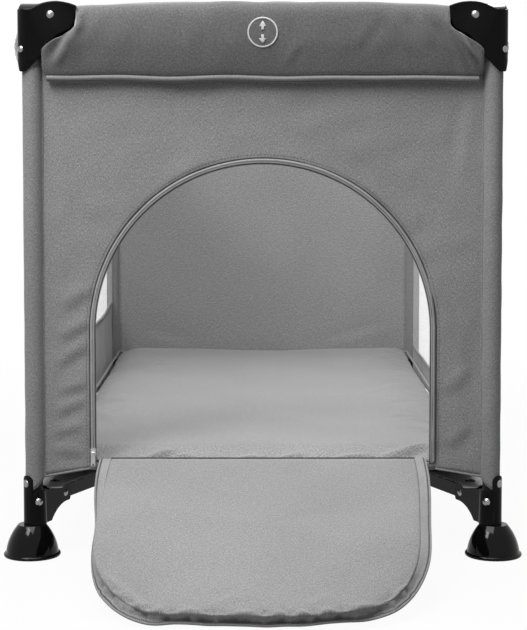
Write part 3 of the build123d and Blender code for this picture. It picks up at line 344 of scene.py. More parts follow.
def smooth(mesh):
    """Shade a whole mesh smooth."""
    mesh.polygons.foreach_set("use_smooth", [True] * len(mesh.polygons))


def points_of(mesh):
    """A mesh's points."""
    return np.array([v.co for v in mesh.vertices])


def move_points(mesh, points):
    """Move all of a mesh's points."""
    mesh.vertices.foreach_set("co", points.astype(np.float32).ravel())


def add_piece(name, points, faces, material, cloth=None):
    """A smooth mesh piece. cloth gives each face corner's place on the flat cloth, in metres."""
    mesh = bpy.data.meshes.new(name)
    mesh.from_pydata(points, [], faces)
    smooth(mesh)
    dress(mesh, material)
    layer = mesh.uv_layers.new(name="cloth")
    if cloth is not None:
        layer.data.foreach_set("uv", np.asarray(cloth, np.float32).ravel())
    return add_object(name, mesh)


def flat_cloth(piece, first, second):
    """Lay a piece's weave flat along two of the frame's axes."""
    corners = np.empty(len(piece.data.loops), np.int32)
    piece.data.loops.foreach_get("vertex_index", corners)
    places = points_of(piece.data)[corners][:, [first, second]]
    piece.data.uv_layers["cloth"].data.foreach_set("uv", places.astype(np.float32).ravel())


def sheet(name, points, material, thickness=0.0, ring=False):
    """A sheet over a grid of points, rows by columns. ring joins the last column to the first."""
    rows, columns = points.shape[:2]
    ends = np.concatenate([points, points[:, :1]], axis=1) if ring else points
    across = np.zeros(ends.shape[:2])
    along = np.zeros(ends.shape[:2])
    across[:, 1:] = np.cumsum(np.linalg.norm(np.diff(ends, axis=1), axis=2), axis=1)
    along[1:] = np.cumsum(np.linalg.norm(np.diff(ends, axis=0), axis=2), axis=0)
    faces, cloth = [], []
    for r in range(rows - 1):
        for c in range(ends.shape[1] - 1):
            corners = ((r, c), (r, c + 1), (r + 1, c + 1), (r + 1, c))
            faces.append([i * columns + j % columns for i, j in corners])
            cloth.extend((across[i, j], along[i, j]) for i, j in corners)
    piece = add_piece(name, points.reshape(-1, 3).tolist(), faces, material, cloth)
    if thickness:
        solid = piece.modifiers.new("thickness", "SOLIDIFY")
        solid.thickness = thickness
        solid.offset = 0
    return piece


def frames(path):
    """Directions along, beside and above each point of a path."""
    path = np.asarray(path, float)
    along = np.gradient(path, axis=0)
    along /= np.linalg.norm(along, axis=1)[:, None]
    up = np.array((0.0, -1.0, 0.0)) if np.abs(along[:, 1]).max() < 0.9 else np.array((0.0, 0.0, 1.0))
    beside = np.cross(along, up)
    beside /= np.linalg.norm(beside, axis=1)[:, None]
    return path, along, beside, np.cross(beside, along)


def piping(name, path, radius, material, sides=8):
    """A round cord sewn along a path."""
    path, _, beside, above = frames(path)
    turns = np.linspace(0, 2 * np.pi, sides, endpoint=False)[None, :, None]
    points = path[:, None] + radius * (np.cos(turns) * beside[:, None] + np.sin(turns) * above[:, None])
    return sheet(name, points, material, ring=True)


def studs(name, path, pitch, size, material):
    """A row of small rounded blocks along a path: zip teeth, or stitches. size is along, beside, above."""
    length = np.linalg.norm(np.diff(path, axis=0), axis=1).sum()
    path, along, beside, above = frames(evenly(path, int(length / pitch)))
    foot = [(-1, -1, 0), (1, -1, 0), (1, 1, 0), (-1, 1, 0)]
    corners = foot + [(0.6 * a, 0.8 * b, 1) for a, b, _ in foot]
    quads = [(0, 1, 5, 4), (1, 2, 6, 5), (2, 3, 7, 6), (3, 0, 4, 7), (4, 5, 6, 7), (3, 2, 1, 0)]
    points, faces = [], []
    for i in range(len(path)):
        faces.extend([[len(points) + k for k in quad] for quad in quads])
        for a, b, c in corners:
            side = (a * size[0] * along[i] + b * size[1] * beside[i]) / 2
            points.append(tuple(path[i] + side + c * size[2] * above[i]))
    return add_piece(name, points, faces, material)


def evenly(path, count):
    """Points at even steps along a path."""
    path = np.asarray(path, float)
    steps = np.concatenate([[0], np.cumsum(np.linalg.norm(np.diff(path, axis=0), axis=1))])
    places = np.linspace(0, steps[-1], count)
    return np.stack([np.interp(places, steps, path[:, k]) for k in range(path.shape[1])], axis=1)


def smooth_line(points, count):
    """Evenly spaced points on a smooth curve through the given ones."""
    points = np.asarray(points, float)
    ends = np.concatenate([2 * points[:1] - points[1:2], points, 2 * points[-1:] - points[-2:-1]])
    curve = []
    for before, start, end, after in zip(ends, ends[1:], ends[2:], ends[3:]):
        t = np.linspace(0, 1, 12, endpoint=False)[:, None]
        bend = 2 * before - 5 * start + 4 * end - after
        twist = 3 * start - before - 3 * end + after
        curve.append(start + 0.5 * ((end - before) * t + bend * t**2 + twist * t**3))
    return evenly(np.concatenate([*curve, points[-1:]]), count)


def eased(value, start, end):
    """A smooth step from 0 at start to 1 at end."""
    share = np.clip((value - start) / (end - start), 0, 1)
    return share * share * (3 - 2 * share)


def carry(piece, body, stands_for=(), gather=None):
    """Let a piece move with a body and hide the solids it stands for. With gather, it gets its own copy of
    its mesh.
    """
    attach(piece, body)
    if stands_for:
        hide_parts(*stands_for)
    if gather:
        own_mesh(piece)
    return piece


FRONT_GATHER = {"axis": (1, 0, 0), "anchor": (-LEG_X, -LEG_Y, 0), "keep": KEEP_END}
BACK_GATHER = {"axis": (1, 0, 0), "anchor": (-LEG_X, LEG_Y, 0), "keep": KEEP_END}
SIDE_GATHER = {"axis": (0, 1, 0), "anchor": (-LEG_X, -LEG_Y, 0), "keep": KEEP_SIDE}


# Front wall with its doorway and zip


def doorway_path(inset, bottom, count):
    """Points (x, z) up the left side of the doorway, over its arch and down the right side."""
    radius = DOORWAY_RADIUS - inset
    side = DOORWAY_SPRING - bottom
    length = 2 * side + math.pi * radius
    places = np.linspace(0, length, count)
    turn = np.clip((places - side) / radius, 0, math.pi)
    x = -radius * np.cos(turn)
    drop = np.maximum(side - places, 0) + np.maximum(places - side - math.pi * radius, 0)
    z = DOORWAY_SPRING + radius * np.sin(turn) - drop
    return np.stack([x, z], axis=1)


def wall_relief(x, z):
    """How far the front wall stands out of its plane: slack cloth, and folds drawn towards the zip."""
    marks = [
        ((-0.292, 0.168), (-0.244, 0.180), 0.006, 0.0020),
        ((-0.290, 0.145), (-0.243, 0.142), 0.006, 0.0018),
        ((-0.286, 0.196), (-0.242, 0.216), 0.006, 0.0019),
        ((-0.282, 0.226), (-0.241, 0.238), 0.006, 0.0020),
        ((-0.286, 0.262), (-0.239, 0.292), 0.007, 0.0021),
        ((-0.280, 0.300), (-0.237, 0.324), 0.007, 0.0022),
        ((-0.276, 0.342), (-0.232, 0.372), 0.008, 0.0016),
        ((0.262, 0.130), (0.272, 0.330), 0.012, 0.0012),
        ((0.246, 0.225), (0.284, 0.262), 0.009, 0.0012),
        ((0.247, 0.150), (0.284, 0.182), 0.009, 0.0013),
        ((0.225, 0.395), (0.262, 0.300), 0.009, 0.0018),
        ((-0.150, 0.505), (-0.060, 0.552), 0.010, 0.0010),
        ((0.110, 0.530), (0.190, 0.470), 0.010, 0.0010),
        ((-0.285, 0.640), (-0.262, 0.480), 0.010, 0.0012),
        ((0.286, 0.640), (0.268, 0.500), 0.010, 0.0014),
    ]
    edge = np.clip((WALL_EDGE - np.abs(x)) / 0.03, 0, 1)
    return edge * (0.0012 * ripple(x, z, 0.22, 4) + 0.0004 * ripple(x, z, 0.05, 5)) + folds(x, z, marks)


def front_wall():
    """Panel from the doorway out to the sleeves, with its sill strip, hems and stitches."""
    columns, rows = 221, 30
    inner = doorway_path(0.0, HEM_AT_DOOR, columns)
    length = 2 * (DOORWAY_SPRING - HEM_AT_DOOR) + math.pi * DOORWAY_RADIUS
    knee = (DOORWAY_SPRING - HEM_AT_DOOR + DOORWAY_RADIUS * math.pi / 4) / length
    share = np.linspace(0, 1, columns)
    x = np.interp(share, [0, knee, 1 - knee, 1], [-WALL_EDGE, -WALL_EDGE, WALL_EDGE, WALL_EDGE])
    z = np.interp(share, [0, knee, 1 - knee, 1], [HEM_AT_LEG, WALL_TOP, WALL_TOP, HEM_AT_LEG])
    outer = np.stack([x, z], axis=1)
    out = np.linspace(0, 1, rows)[:, None, None] ** 1.25
    flat = inner[None] * (1 - out) + outer[None] * out
    x, z = flat[..., 0], flat[..., 1]
    points = grid(x, -LEG_Y - wall_relief(x, z), z)
    panel = sheet("front_panel", points, WALL_CLOTH, CLOTH_THICKNESS)
    flat_cloth(panel, 0, 2)
    carry(panel, "front_left_leg", ["front_wall"], FRONT_GATHER)

    x = np.linspace(-DOORWAY_RADIUS, DOORWAY_RADIUS, 60)[None]
    # below the sill the strip turns in under the mattress, which closes the foot of the doorway
    inwards = np.array([0.034, 0.018, 0.0025, 0, 0, 0])[:, None]
    drop = np.array([0.0028, 0.0023, 0.0018, 0, 0, 0])[:, None]
    z = np.array([HEM_AT_DOOR] * 4 + [(HEM_AT_DOOR + SILL) / 2, SILL])[:, None] - drop
    y = -LEG_Y + inwards + 0.0006 * ripple(x, z, 0.06, 8)
    trims = [sheet("sill_strip", grid(x, y, z), WALL_CLOTH, 0.0014)]
    for name, edge in (("left_hem", points[::-1, 0]), ("right_hem", points[:, -1])):
        trims.append(piping(name, edge + np.array((0, -0.0006, 0)), HEM_RADIUS, HEM_CLOTH))
    x, z = doorway_path(-0.005, HEM_AT_DOOR, 300).T
    line = grid(x, -LEG_Y - wall_relief(x, z) - 0.0007, z)
    trims.append(studs("doorway_stitches", line, 0.0045, (0.003, 0.0006, 0.0004), DARK_THREAD_AND_SHADE))
    for trim in trims:
        carry(trim, "front_left_leg", gather=FRONT_GATHER)


def zip_band():
    """The wall's half of the zip: a tape with a groove, three dark welts that paint the shade along its edges
    and in the groove, and its row of coil teeth.
    """
    # the tape's section: how far in from the wall's edge, and how far in front of the wall
    insets = (0.0002, 0.0008, 0.0016, 0.0028, 0.0036, 0.0040, 0.0044, 0.0052, 0.0060, 0.0066)
    rises = (-0.0004, 0.0014, 0.0024, 0.0026, 0.0020, 0.0006, 0.0018, 0.0022, 0.0014, -0.0006)
    rows = []
    for inset, rise in zip(insets, rises):
        x, z = doorway_path(inset, SILL, 320).T
        y = -LEG_Y - rise - wall_relief(x, z) * max(0, 1 - inset / ZIP_WIDTH)
        rows.append(grid(x, y, z))
    band = sheet("zip_band", np.array(rows), ZIP_CLOTH, 0.0008)
    carry(band, "front_left_leg", ["zip_track"], FRONT_GATHER)
    trims = []
    # the welts are dark cords that paint the shade at the tape's outer edge, in its groove and beside the
    # teeth
    shade_painted_welts = (("outer", -0.0006, 0.0008), ("middle", 0.0040, 0.0006), ("inner", 0.0070, 0.0007))
    for name, inset, radius in shade_painted_welts:
        x, z = doorway_path(inset, SILL, 240).T
        trims.append(piping(f"zip_{name}_welt", grid(x, -LEG_Y - 0.0012, z), radius, DARK_THREAD_AND_SHADE, sides=6))
    x, z = doorway_path(0.0076, SILL, 320).T
    trims.append(studs("zip_teeth", grid(x, -LEG_Y - 0.0002, z), TOOTH_PITCH, TOOTH_SIZE, COIL))
    for trim in trims:
        carry(trim, "front_left_leg", gather=FRONT_GATHER)


def zip_hardware():
    """Slider and puller, their solids with softened edges, drawn along with the zip."""
    for name, body in (("zip_slider", "front_left_leg"), ("zip_puller", "zip_puller")):
        piece = add_object(f"{name}_metal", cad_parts[name].data.copy())
        dress(piece.data, ZIP_METAL)
        rounding = piece.modifiers.new("rounding", "BEVEL")
        rounding.width = 0.0003
        rounding.segments = 2
        carry(piece, body, [name], FRONT_GATHER)


# Legs, back wall and sides


def leg_sleeves():
    """A fabric sleeve round each leg, with a welt where each wall is sewn in."""
    turns = np.linspace(0, 2 * np.pi, 28, endpoint=False)[None]
    heights = np.linspace(0, 1, 90)[:, None]
    welt_heights = np.linspace(HEM_AT_LEG, SLEEVE_TOP - 0.03, 60)
    for corner, (side, end) in CORNERS.items():
        # the sleeve hangs lower on the outside of the leg than on the inside
        inward = -(side * np.cos(turns) + end * np.sin(turns)) / math.sqrt(2)
        bottom = SLEEVE_BOTTOM + SLEEVE_SLANT * (1 + inward)
        z = bottom + (SLEEVE_TOP - bottom) * heights
        slack = 0.00035 * ripple(turns * 0.012, z, 0.07, 11 + len(corner))
        radius = SLEEVE_RADIUS + 0.0002 + slack * np.clip((z - bottom) / 0.02, 0.3, 1)
        points = grid(side * LEG_X + radius * np.cos(turns), end * LEG_Y + radius * np.sin(turns), z)
        sleeve = sheet(f"{corner}_sleeve", points, SLEEVE_CLOTH, 0.0007, ring=True)
        carry(sleeve, f"{corner}_leg")
        for name, x, y in (
            ("end_welt", side * (WALL_EDGE - 0.001), end * LEG_Y),
            ("side_welt", side * LEG_X, end * (LEG_Y - SLEEVE_RADIUS - 0.001)),
        ):
            welt = piping(f"{corner}_{name}", grid(x, y, welt_heights), 0.0019, SLEEVE_CLOTH)
            carry(welt, f"{corner}_leg")


def back_wall():
    """Plain panel of the back end, with its hem."""
    x = np.linspace(-WALL_EDGE, WALL_EDGE, 70)[None]
    bottom = HEM_AT_DOOR - (HEM_AT_DOOR - HEM_AT_LEG) * (x / WALL_EDGE) ** 4
    z = bottom + (WALL_TOP - bottom) * np.linspace(0, 1, 70)[:, None]
    marks = [
        ((-0.27, 0.600), (-0.20, 0.420), 0.012, 0.0012),
        ((0.25, 0.610), (0.21, 0.380), 0.012, 0.0012),
        ((-0.26, 0.180), (-0.15, 0.150), 0.010, 0.0012),
        ((0.12, 0.150), (0.26, 0.190), 0.010, 0.0012),
    ]
    edge = np.clip((WALL_EDGE - np.abs(x)) / 0.03, 0, 1)
    y = LEG_Y + edge * 0.0016 * ripple(x, z, 0.25, 21) + folds(x, z, marks)
    points = grid(x, y, z)
    panel = sheet("back_panel", points, BACK_CLOTH, CLOTH_THICKNESS)
    carry(panel, "back_left_leg", ["back_wall"], BACK_GATHER)
    hem = piping("back_hem", points[0], HEM_RADIUS, HEM_CLOTH)
    carry(hem, "back_left_leg", gather=BACK_GATHER)


def side_walls():
    """A white net on each long side over a band of wall cloth, with a piping between them."""
    half = LEG_Y - SLEEVE_RADIUS
    y = np.linspace(-half, half, 120)[None]
    for name, side, top, body, sag in (
        ("left", -1, LEFT_BAND_TOP, "front_left_leg", 0.010),
        ("right", 1, RIGHT_BAND_TOP, "front_right_leg", 0.002),
    ):
        seam = top - sag * (1 - (y / half) ** 2)
        bows = 0.0015 * ripple(y, np.zeros_like(y), 0.3, 31 + side)
        z = SIDE_HEM + (seam - SIDE_HEM) * np.linspace(0, 1, 14)[:, None]
        x = side * LEG_X + bows + 0.0008 * ripple(y, z, 0.08, 33 + side)
        band_points = grid(x, y, z)
        band = sheet(f"{name}_band_cloth", band_points, WALL_CLOTH, CLOTH_THICKNESS)
        z = seam + (WALL_TOP - seam) * np.linspace(0, 1, 30)[:, None]
        net = sheet(f"{name}_net_cloth", grid(side * LEG_X + bows, y, z), NET)
        cord = piping(f"{name}_band_piping", band_points[-1], 0.0022, HEM_CLOTH)
        hem = piping(f"{name}_band_hem", band_points[0], HEM_RADIUS, HEM_CLOTH)
        carry(band, body, [f"{name}_band"], SIDE_GATHER)
        carry(net, body, [f"{name}_net"], SIDE_GATHER)
        for trim in (cord, hem):
            carry(trim, body, gather=SIDE_GATHER)


# Rail covers


COVER_FOLDS = [
    ((-0.2425, 0.750), (-0.2500, 0.712), 0.0050, 0.0060),
    ((-0.2490, 0.722), (-0.2800, 0.668), 0.0060, 0.0070),
    ((-0.2360, 0.742), (-0.2620, 0.672), 0.0090, 0.0036),
    ((-0.2150, 0.745), (-0.2380, 0.690), 0.0100, 0.0014),
    ((-0.1050, 0.748), (-0.0900, 0.700), 0.0070, 0.0011),
    ((-0.0820, 0.745), (-0.0600, 0.690), 0.0070, 0.0011),
    ((0.0300, 0.668), (0.0480, 0.700), 0.0060, 0.0012),
    ((0.1200, 0.690), (0.1500, 0.735), 0.0080, 0.0010),
    ((0.1680, 0.745), (0.2000, 0.680), 0.0080, 0.0014),
    ((0.2050, 0.745), (0.2260, 0.690), 0.0070, 0.0016),
    ((0.2460, 0.738), (0.2920, 0.658), 0.0050, 0.0066),
    ((0.2360, 0.742), (0.2800, 0.656), 0.0070, 0.0046),
    ((0.2560, 0.712), (0.2900, 0.672), 0.0035, 0.0030),
]


def long_folds():
    """The folds of a long cover: those of a short one moved out to its ends, and two near its middle."""
    longer = LEG_Y - LEG_X
    moved = []
    for start, end, width, height in COVER_FOLDS:
        shift = math.copysign(longer, start[0])
        moved.append(((start[0] + shift, start[1]), (end[0] + shift, end[1]), width, height))
    moved.append(((-0.06, 0.745), (-0.03, 0.690), 0.009, 0.0011))
    moved.append(((0.20, 0.690), (0.16, 0.742), 0.009, 0.0011))
    return moved


def cover_profile():
    """Section of a padded cover from its outer hem over the rail to its inner hem: (outwards, z)."""
    half = [
        (0.0045, COVER_HEM + 0.0025),
        (0.0085, COVER_HEM),
        (0.0120, COVER_HEM + 0.0022),
        (0.0128, COVER_HEM + 0.0050),
        (0.0112, COVER_SEAM),
        (0.0134, COVER_SEAM + 0.0035),
        (0.0162, COVER_SEAM + 0.0150),
        (0.0188, 0.686),
        (0.0204, 0.699),
        (0.0205, 0.712),
        (0.0197, 0.724),
        (0.0183, 0.735),
        (0.0159, 0.744),
        (0.0114, 0.7505),
        (0.0058, 0.7538),
    ]
    other = [(-out, z) for out, z in reversed(half)]
    return smooth_line([*half, (0.0, COVER_TOP), *other], 90)


def cover_shape(half_length, marks, seed):
    """Places (along, outwards, z) over a padded cover between two brackets."""
    profile = cover_profile()
    share = np.linspace(-1, 1, int(half_length / 0.0021))[None]
    outwards, z = profile[:, :1], profile[:, 1:]
    # each end stops at the bracket's wing above, reaches nearly to the leg below it, and leans back
    under = eased(z, WING_END_UNDER, WING_KNEE_UNDER)
    reach = half_length - COVER_WING_END + (COVER_WING_END - COVER_END) * under
    reach = reach - COVER_LEAN * np.clip((COVER_LEAN_TOP - z) / 0.016, 0, 1) ** 2
    along = share * reach
    # it is puffed out and creased along its normal, and its hem is loose
    front = np.sign(outwards)
    puff = 0.0011 * ripple(along, z + 0.4 * front, 0.16, seed + 1)
    puff = puff + 0.0004 * ripple(along, z, 0.045, seed + 2)
    puff = puff + folds(along, z, marks) * (front > 0) + folds(-along, z, marks) * (front < 0)
    near_hem = np.clip((COVER_LOOSE_TOP - z) / 0.02, 0, 1)
    lift = 0.0011 * ripple(along, z * 0, 0.13, seed) * near_hem
    normal = np.gradient(profile, axis=0)
    normal = np.stack([-normal[:, 1], normal[:, 0]], axis=1) / np.linalg.norm(normal, axis=1)[:, None]
    from_middle = profile - np.array((0, COVER_MIDDLE))
    normal *= np.sign((normal * from_middle).sum(axis=1)).reshape(-1, 1)
    height = np.minimum(z + normal[:, 1:] * puff + lift, COVER_TOP + 0.0006)
    # the top is a little lower towards the brackets
    height = height - 0.0055 * np.abs(share) ** 3 * eased(z, COVER_SHOULDER, COVER_SHOULDER + 0.05)
    return along, outwards + normal[:, :1] * puff, height


def rail_cover(name, side, end, body):
    """Padded cover, with its hems and its mark, over the rails that face one side or end of the playpen."""
    if end:
        along, out, z = cover_shape(LEG_X, COVER_FOLDS, 51 + end)
        points = grid(-end * along, end * (LEG_Y + out), z)
        gather = {"axis": (1, 0, 0), "anchor": (-END_COVER_ANCHOR, end * LEG_Y, 0), "keep": KEEP_END_COVER}
    else:
        along, out, z = cover_shape(LEG_Y, long_folds(), 61 + side)
        points = grid(side * (LEG_X + out), side * along, z)
        gather = {"axis": (0, 1, 0), "anchor": (side * LEG_X, -SIDE_COVER_ANCHOR, 0), "keep": KEEP_SIDE_COVER}
    whole = f"{name}_rail_cover_padding"
    cover = sheet(whole, points, COVER_CLOTH, 0.0018)
    carry(cover, body, [f"{name}_rail_cover"], gather)
    outer = cover_profile()[: len(points) // 2, 1]
    hem_row = int(np.argmin(np.abs(outer - COVER_HEM)))
    seam_row = int(np.argmin(np.abs(outer - COVER_SEAM)))
    for face, hem_line, seam_line in (
        ("outer", points[hem_row + 2], points[seam_row]),
        ("inner", points[-3 - hem_row], points[-1 - seam_row]),
    ):
        hem = piping(f"{whole}_{face}_hem", hem_line, 0.0030, HEM_CLOTH, sides=10)
        seam = piping(f"{whole}_{face}_seam", seam_line, 0.0013, DARK_THREAD_AND_SHADE, sides=6)
        for trim in (hem, seam):
            carry(trim, body, gather=gather)
    press_mark(name, body, points, gather, (side, end, 0))


def press_mark(name, body, cover, gather, facing):
    """Plain printed ring with two plain arrows over the rail lock's button, laid on the cover's cloth."""
    depth_axis = 0 if facing[0] else 1
    in_front = 0.0016 * np.array(facing)
    rows, columns = cover.shape[:2]
    outer_rows = cover[: rows // 2, columns // 2]
    order = np.argsort(outer_rows[:, 2])

    def on_cover(flat):
        """Flat points (along, up) of the mark, moved onto the cover."""
        z = BUTTON_HEIGHT + flat[..., 1]
        points = np.zeros(flat.shape[:-1] + (3,))
        points[..., 1 - depth_axis] = flat[..., 0]
        points[..., depth_axis] = np.interp(z, outer_rows[order, 2], outer_rows[order, depth_axis])
        points[..., 2] = z
        return points + in_front

    turns = np.linspace(0, 2 * np.pi, 72, endpoint=False)[None]
    radii = np.array([0.0183, 0.0194, 0.0205])[:, None]
    ring = np.stack([radii * np.cos(turns), radii * np.sin(turns)], axis=2)
    pieces = [sheet(f"{name}_mark_ring", on_cover(ring), MARK_PRINT, 0.0004, ring=True)]
    # half widths of an arrow at heights from its tail to its point
    widths = np.array([0.0018, 0.0018, 0.0018, 0.0050, 0.0028, 0.0003])[:, None]
    heights = np.array([0.0030, 0.0055, 0.0080, 0.0081, 0.0115, 0.0150])[:, None]
    across = widths * np.linspace(-1, 1, 5)
    for word, way in (("up", 1), ("down", -1)):
        arrow = np.stack(np.broadcast_arrays(across, way * heights), axis=2)
        pieces.append(sheet(f"{name}_mark_{word}", on_cover(arrow), MARK_PRINT, 0.0004))
    for piece in pieces:
        carry(piece, body, gather=gather)


# Door


def door_place(x, y, rise):
    """A point on the open door: x across, y out from the hinge along the door, rise above its face."""
    out = y * math.cos(DOOR_SLOPE) + rise * math.sin(DOOR_SLOPE)
    drop = y * math.sin(DOOR_SLOPE) - rise * math.cos(DOOR_SLOPE)
    return grid(x, -LEG_Y - out, HINGE_HEIGHT - drop)


def door_seam(count):
    """Seam (x, y) round the padded panel, from its left root over its far end to its right root."""
    turn = np.linspace(0, np.pi, 400)
    power = 2 / DOOR_SQUARENESS
    across, beyond = np.cos(turn), np.clip(np.sin(turn), 0, 1)
    arch_x = -DOOR_SIDE * np.sign(across) * np.abs(across) ** power
    arch_y = DOOR_SPRING + (DOOR_END - DOOR_SPRING) * beyond**power
    rise = np.linspace(0, DOOR_SPRING, 60)[:-1]
    side = DOOR_ROOT + (DOOR_SIDE - DOOR_ROOT) * np.sin(np.pi / 2 * rise / DOOR_SPRING)
    x = np.concatenate([-side, arch_x, side[::-1]])
    y = np.concatenate([rise, arch_y, rise[::-1]])
    # its right side is drawn in, and so are both far corners
    x = x - 0.0160 * eased(x, 0, 0.15) * eased(y, 0, 0.26)
    corner = eased(np.abs(x), 0.06, 0.18) * eased(y, 0.24, 0.34)
    x = x * (1 - 0.018 * corner)
    return evenly(np.stack([x, y], axis=1), count)


def door_droop(x, y):
    """How the open panel lies off its plane: slack, and lower at the corners of its far end."""
    corner = eased(y, 0.22, 0.34) * eased(np.abs(x), 0.07, 0.16)
    slack = 0.0016 * ripple(x, y, 0.17, 71) * np.clip(y / 0.08, 0, 1)
    return slack - 0.010 * corner - 0.002 * eased(y, 0.30, 0.38)


def door_panel():
    """Padded panel that lies open, with its zip strip sewn on."""
    seam = door_seam(260)
    root = np.stack([np.linspace(seam[-1, 0], seam[0, 0], 60)[1:-1], np.zeros(58)], axis=1)
    outline = np.concatenate([seam, root])
    centre = np.array((0.0, 0.19))
    angles = np.linspace(0, np.pi, 34)[:, None]
    share = np.clip(np.sin(angles), 0, 1) ** 0.3
    level = np.cos(angles)
    rise = np.where(level > 0, 0.0052, 0.0030) * np.sign(level) * np.abs(level) ** 0.4
    x = centre[0] + (outline[None, :, 0] - centre[0]) * share
    y = centre[1] + (outline[None, :, 1] - centre[1]) * share
    marks = [
        ((-0.190, 0.300), (-0.135, 0.368), 0.006, 0.0020),
        ((0.150, 0.362), (0.195, 0.290), 0.006, 0.0020),
        ((-0.205, 0.200), (-0.188, 0.290), 0.006, 0.0014),
        ((-0.060, 0.374), (-0.020, 0.352), 0.006, 0.0014),
        ((0.050, 0.376), (0.085, 0.350), 0.006, 0.0016),
    ]
    # the far edge is puckered where it is sewn to the strip
    walk = np.linspace(0, 60, len(outline))[None]
    edge = np.exp(-(((share - 0.985) / 0.02) ** 2)) * eased(y, 0.27, 0.37)
    pucker = 0.0026 * edge * np.sin(3.3 * walk + 2.4 * np.sin(0.7 * walk))
    above = np.clip(rise / 0.004, 0, 1)
    relief = pucker + folds(x, y, marks) + 0.0004 * ripple(x, y, 0.06, 72)
    height = rise + door_droop(x, y) + above * relief
    panel = sheet("door_padding", door_place(x, y, height), DOOR_CLOTH, ring=True)
    flat_cloth(panel, 0, 1)
    carry(panel, "door", ["door"], FRONT_GATHER)
    door_strip(seam)


def door_strip(seam):
    """Zip strip sewn round the panel: flat beside the hinge, turned down further out, with its trims."""
    along = np.gradient(seam, axis=0)
    along /= np.linalg.norm(along, axis=1)[:, None]
    outward = np.stack([-along[:, 1], along[:, 0]], axis=1)
    x, y = seam[:, 0], seam[:, 1]
    far = eased(y, 0.24, 0.36)
    # on the right it stays nearly flat as far as the corner
    turned = eased(y, 0, 0.18) * (1 - 0.7 * eased(x, 0, 0.1) * (1 - far))
    corner = eased(np.abs(x), 0.10, 0.16) * far
    walk = np.linspace(0, 50, len(seam))
    wrinkle = np.sin(4.1 * walk + 2.6 * np.sin(0.9 * walk)) + 0.6 * np.sin(9.7 * walk)
    steps = 9
    out = np.full(len(seam), -0.0022)
    drop = np.full(len(seam), -0.0016)
    rows = []
    for step in range(steps):
        bulge = 0.0020 * far * wrinkle * math.sin(math.pi * step / (steps - 1))
        place = seam + outward * (out + bulge)[:, None]
        lift = door_droop(x, y) - drop + 0.0005 * ripple(x, y, 0.04, 74)
        rows.append(door_place(place[:, 0], place[:, 1], lift))
        # it leans under the panel at first, then out again to the piping
        lean = math.radians(78) * turned + math.radians(30) * far * (1 if step < 5 else -1.4)
        lean = lean * (1 - 0.45 * corner)
        length = DOOR_STRIP / (steps - 1)
        out = out + length * np.cos(lean)
        drop = drop + length * np.sin(lean)
    rows = np.array(rows)
    root = grid(np.linspace(-DOOR_ROOT, DOOR_ROOT, 60), 0.0015 - LEG_Y, HINGE_HEIGHT + 0.0031)
    above = np.array((0, 0, 0.0006))
    strip = sheet("door_zip_strip", rows, STRIP_CLOTH, 0.0012)
    carry(strip, "door", ["door_tape"], FRONT_GATHER)
    trims = [
        piping("door_zip_piping", rows[-1], HEM_RADIUS, HEM_CLOTH),
        piping("door_root_cord", root, 0.0009, DARK_THREAD_AND_SHADE, sides=6),
        # the seam cord is the sewn seam, and its grey paints the shade along the panel's edge
        piping("door_seam_cord", rows[1] + above, 0.0007, SEAM_CORD_AND_SHADE, sides=6),
        studs("door_zip_teeth", rows[-2] + above, TOOTH_PITCH, TOOTH_SIZE, COIL),
    ]
    for trim in trims:
        carry(trim, "door", gather=FRONT_GATHER)
    length = float(np.linalg.norm(np.diff(seam, axis=0), axis=1).sum())


# Floor


def sheet_edge(x):
    """How far the floor sheet reaches at a distance from the middle: along the bars, and hollow between."""
    beside_bar = BAR_SIDE[1] + (x - BAR_SIDE[0]) * BAR_ALONG[1] / BAR_ALONG[0]
    past = beside_bar - SHEET_INNER_END
    return np.minimum(SHEET_INNER_END + (past + np.hypot(past, 0.05)) / 2, SHEET_END)


def floor_sheet():
    """Floor sheet in four quarters, one above each bar, with an eyelet at each foot."""
    x = SHEET_HALF_WIDTH * np.linspace(0, 1, 60)[None]
    edge = sheet_edge(x)
    y = edge * np.linspace(0, 1, 60)[:, None]
    # the corner is cut in round the leg
    x = x * (1 - 0.042 * eased(y, 0.575, 0.595))
    turns = np.linspace(0, 2 * np.pi, 24, endpoint=False)
    circle = grid(np.cos(turns), np.sin(turns), 0.0)
    # section of an eyelet: its radius and its rise, from the hole outwards
    section = [(0.0004, 0.0002), (0.0034, 0.0004), (0.0048, 0.0012), (0.0062, 0.0012), (0.0072, 0.0001)]
    for corner, (side, end) in CORNERS.items():
        z = SHEET_TOP - 0.0008 + 0.0004 * ripple(side * x, end * y, 0.2, 81)
        # each quarter's pale grey paints light where the walls' hems shade it
        quarter = sheet(f"{corner}_floor_cloth", grid(side * x, end * y, z), FLOOR_CLOTH_PAINTED_LIGHT, 0.0012)
        gather = {
            "axis": (BAR_ALONG[1], -side * end * BAR_ALONG[0], 0),
            "anchor": (side * LEG_X, end * LEG_Y, 0),
            "keep": KEEP_FLOOR,
        }
        stands_for = ["floor_sheet"] if corner == "front_left" else []
        carry(quarter, f"{corner}_bar", stands_for, gather)
        centre = np.array((side * EYELET_PLACE[0], end * EYELET_PLACE[1], SHEET_TOP - 0.0002))
        rings = np.array([centre + radius * circle + np.array((0, 0, rise)) for radius, rise in section])
        eyelet = sheet(f"{corner}_eyelet", rings, EYELET, 0.0004, ring=True)
        carry(eyelet, f"{corner}_bar", gather=gather)


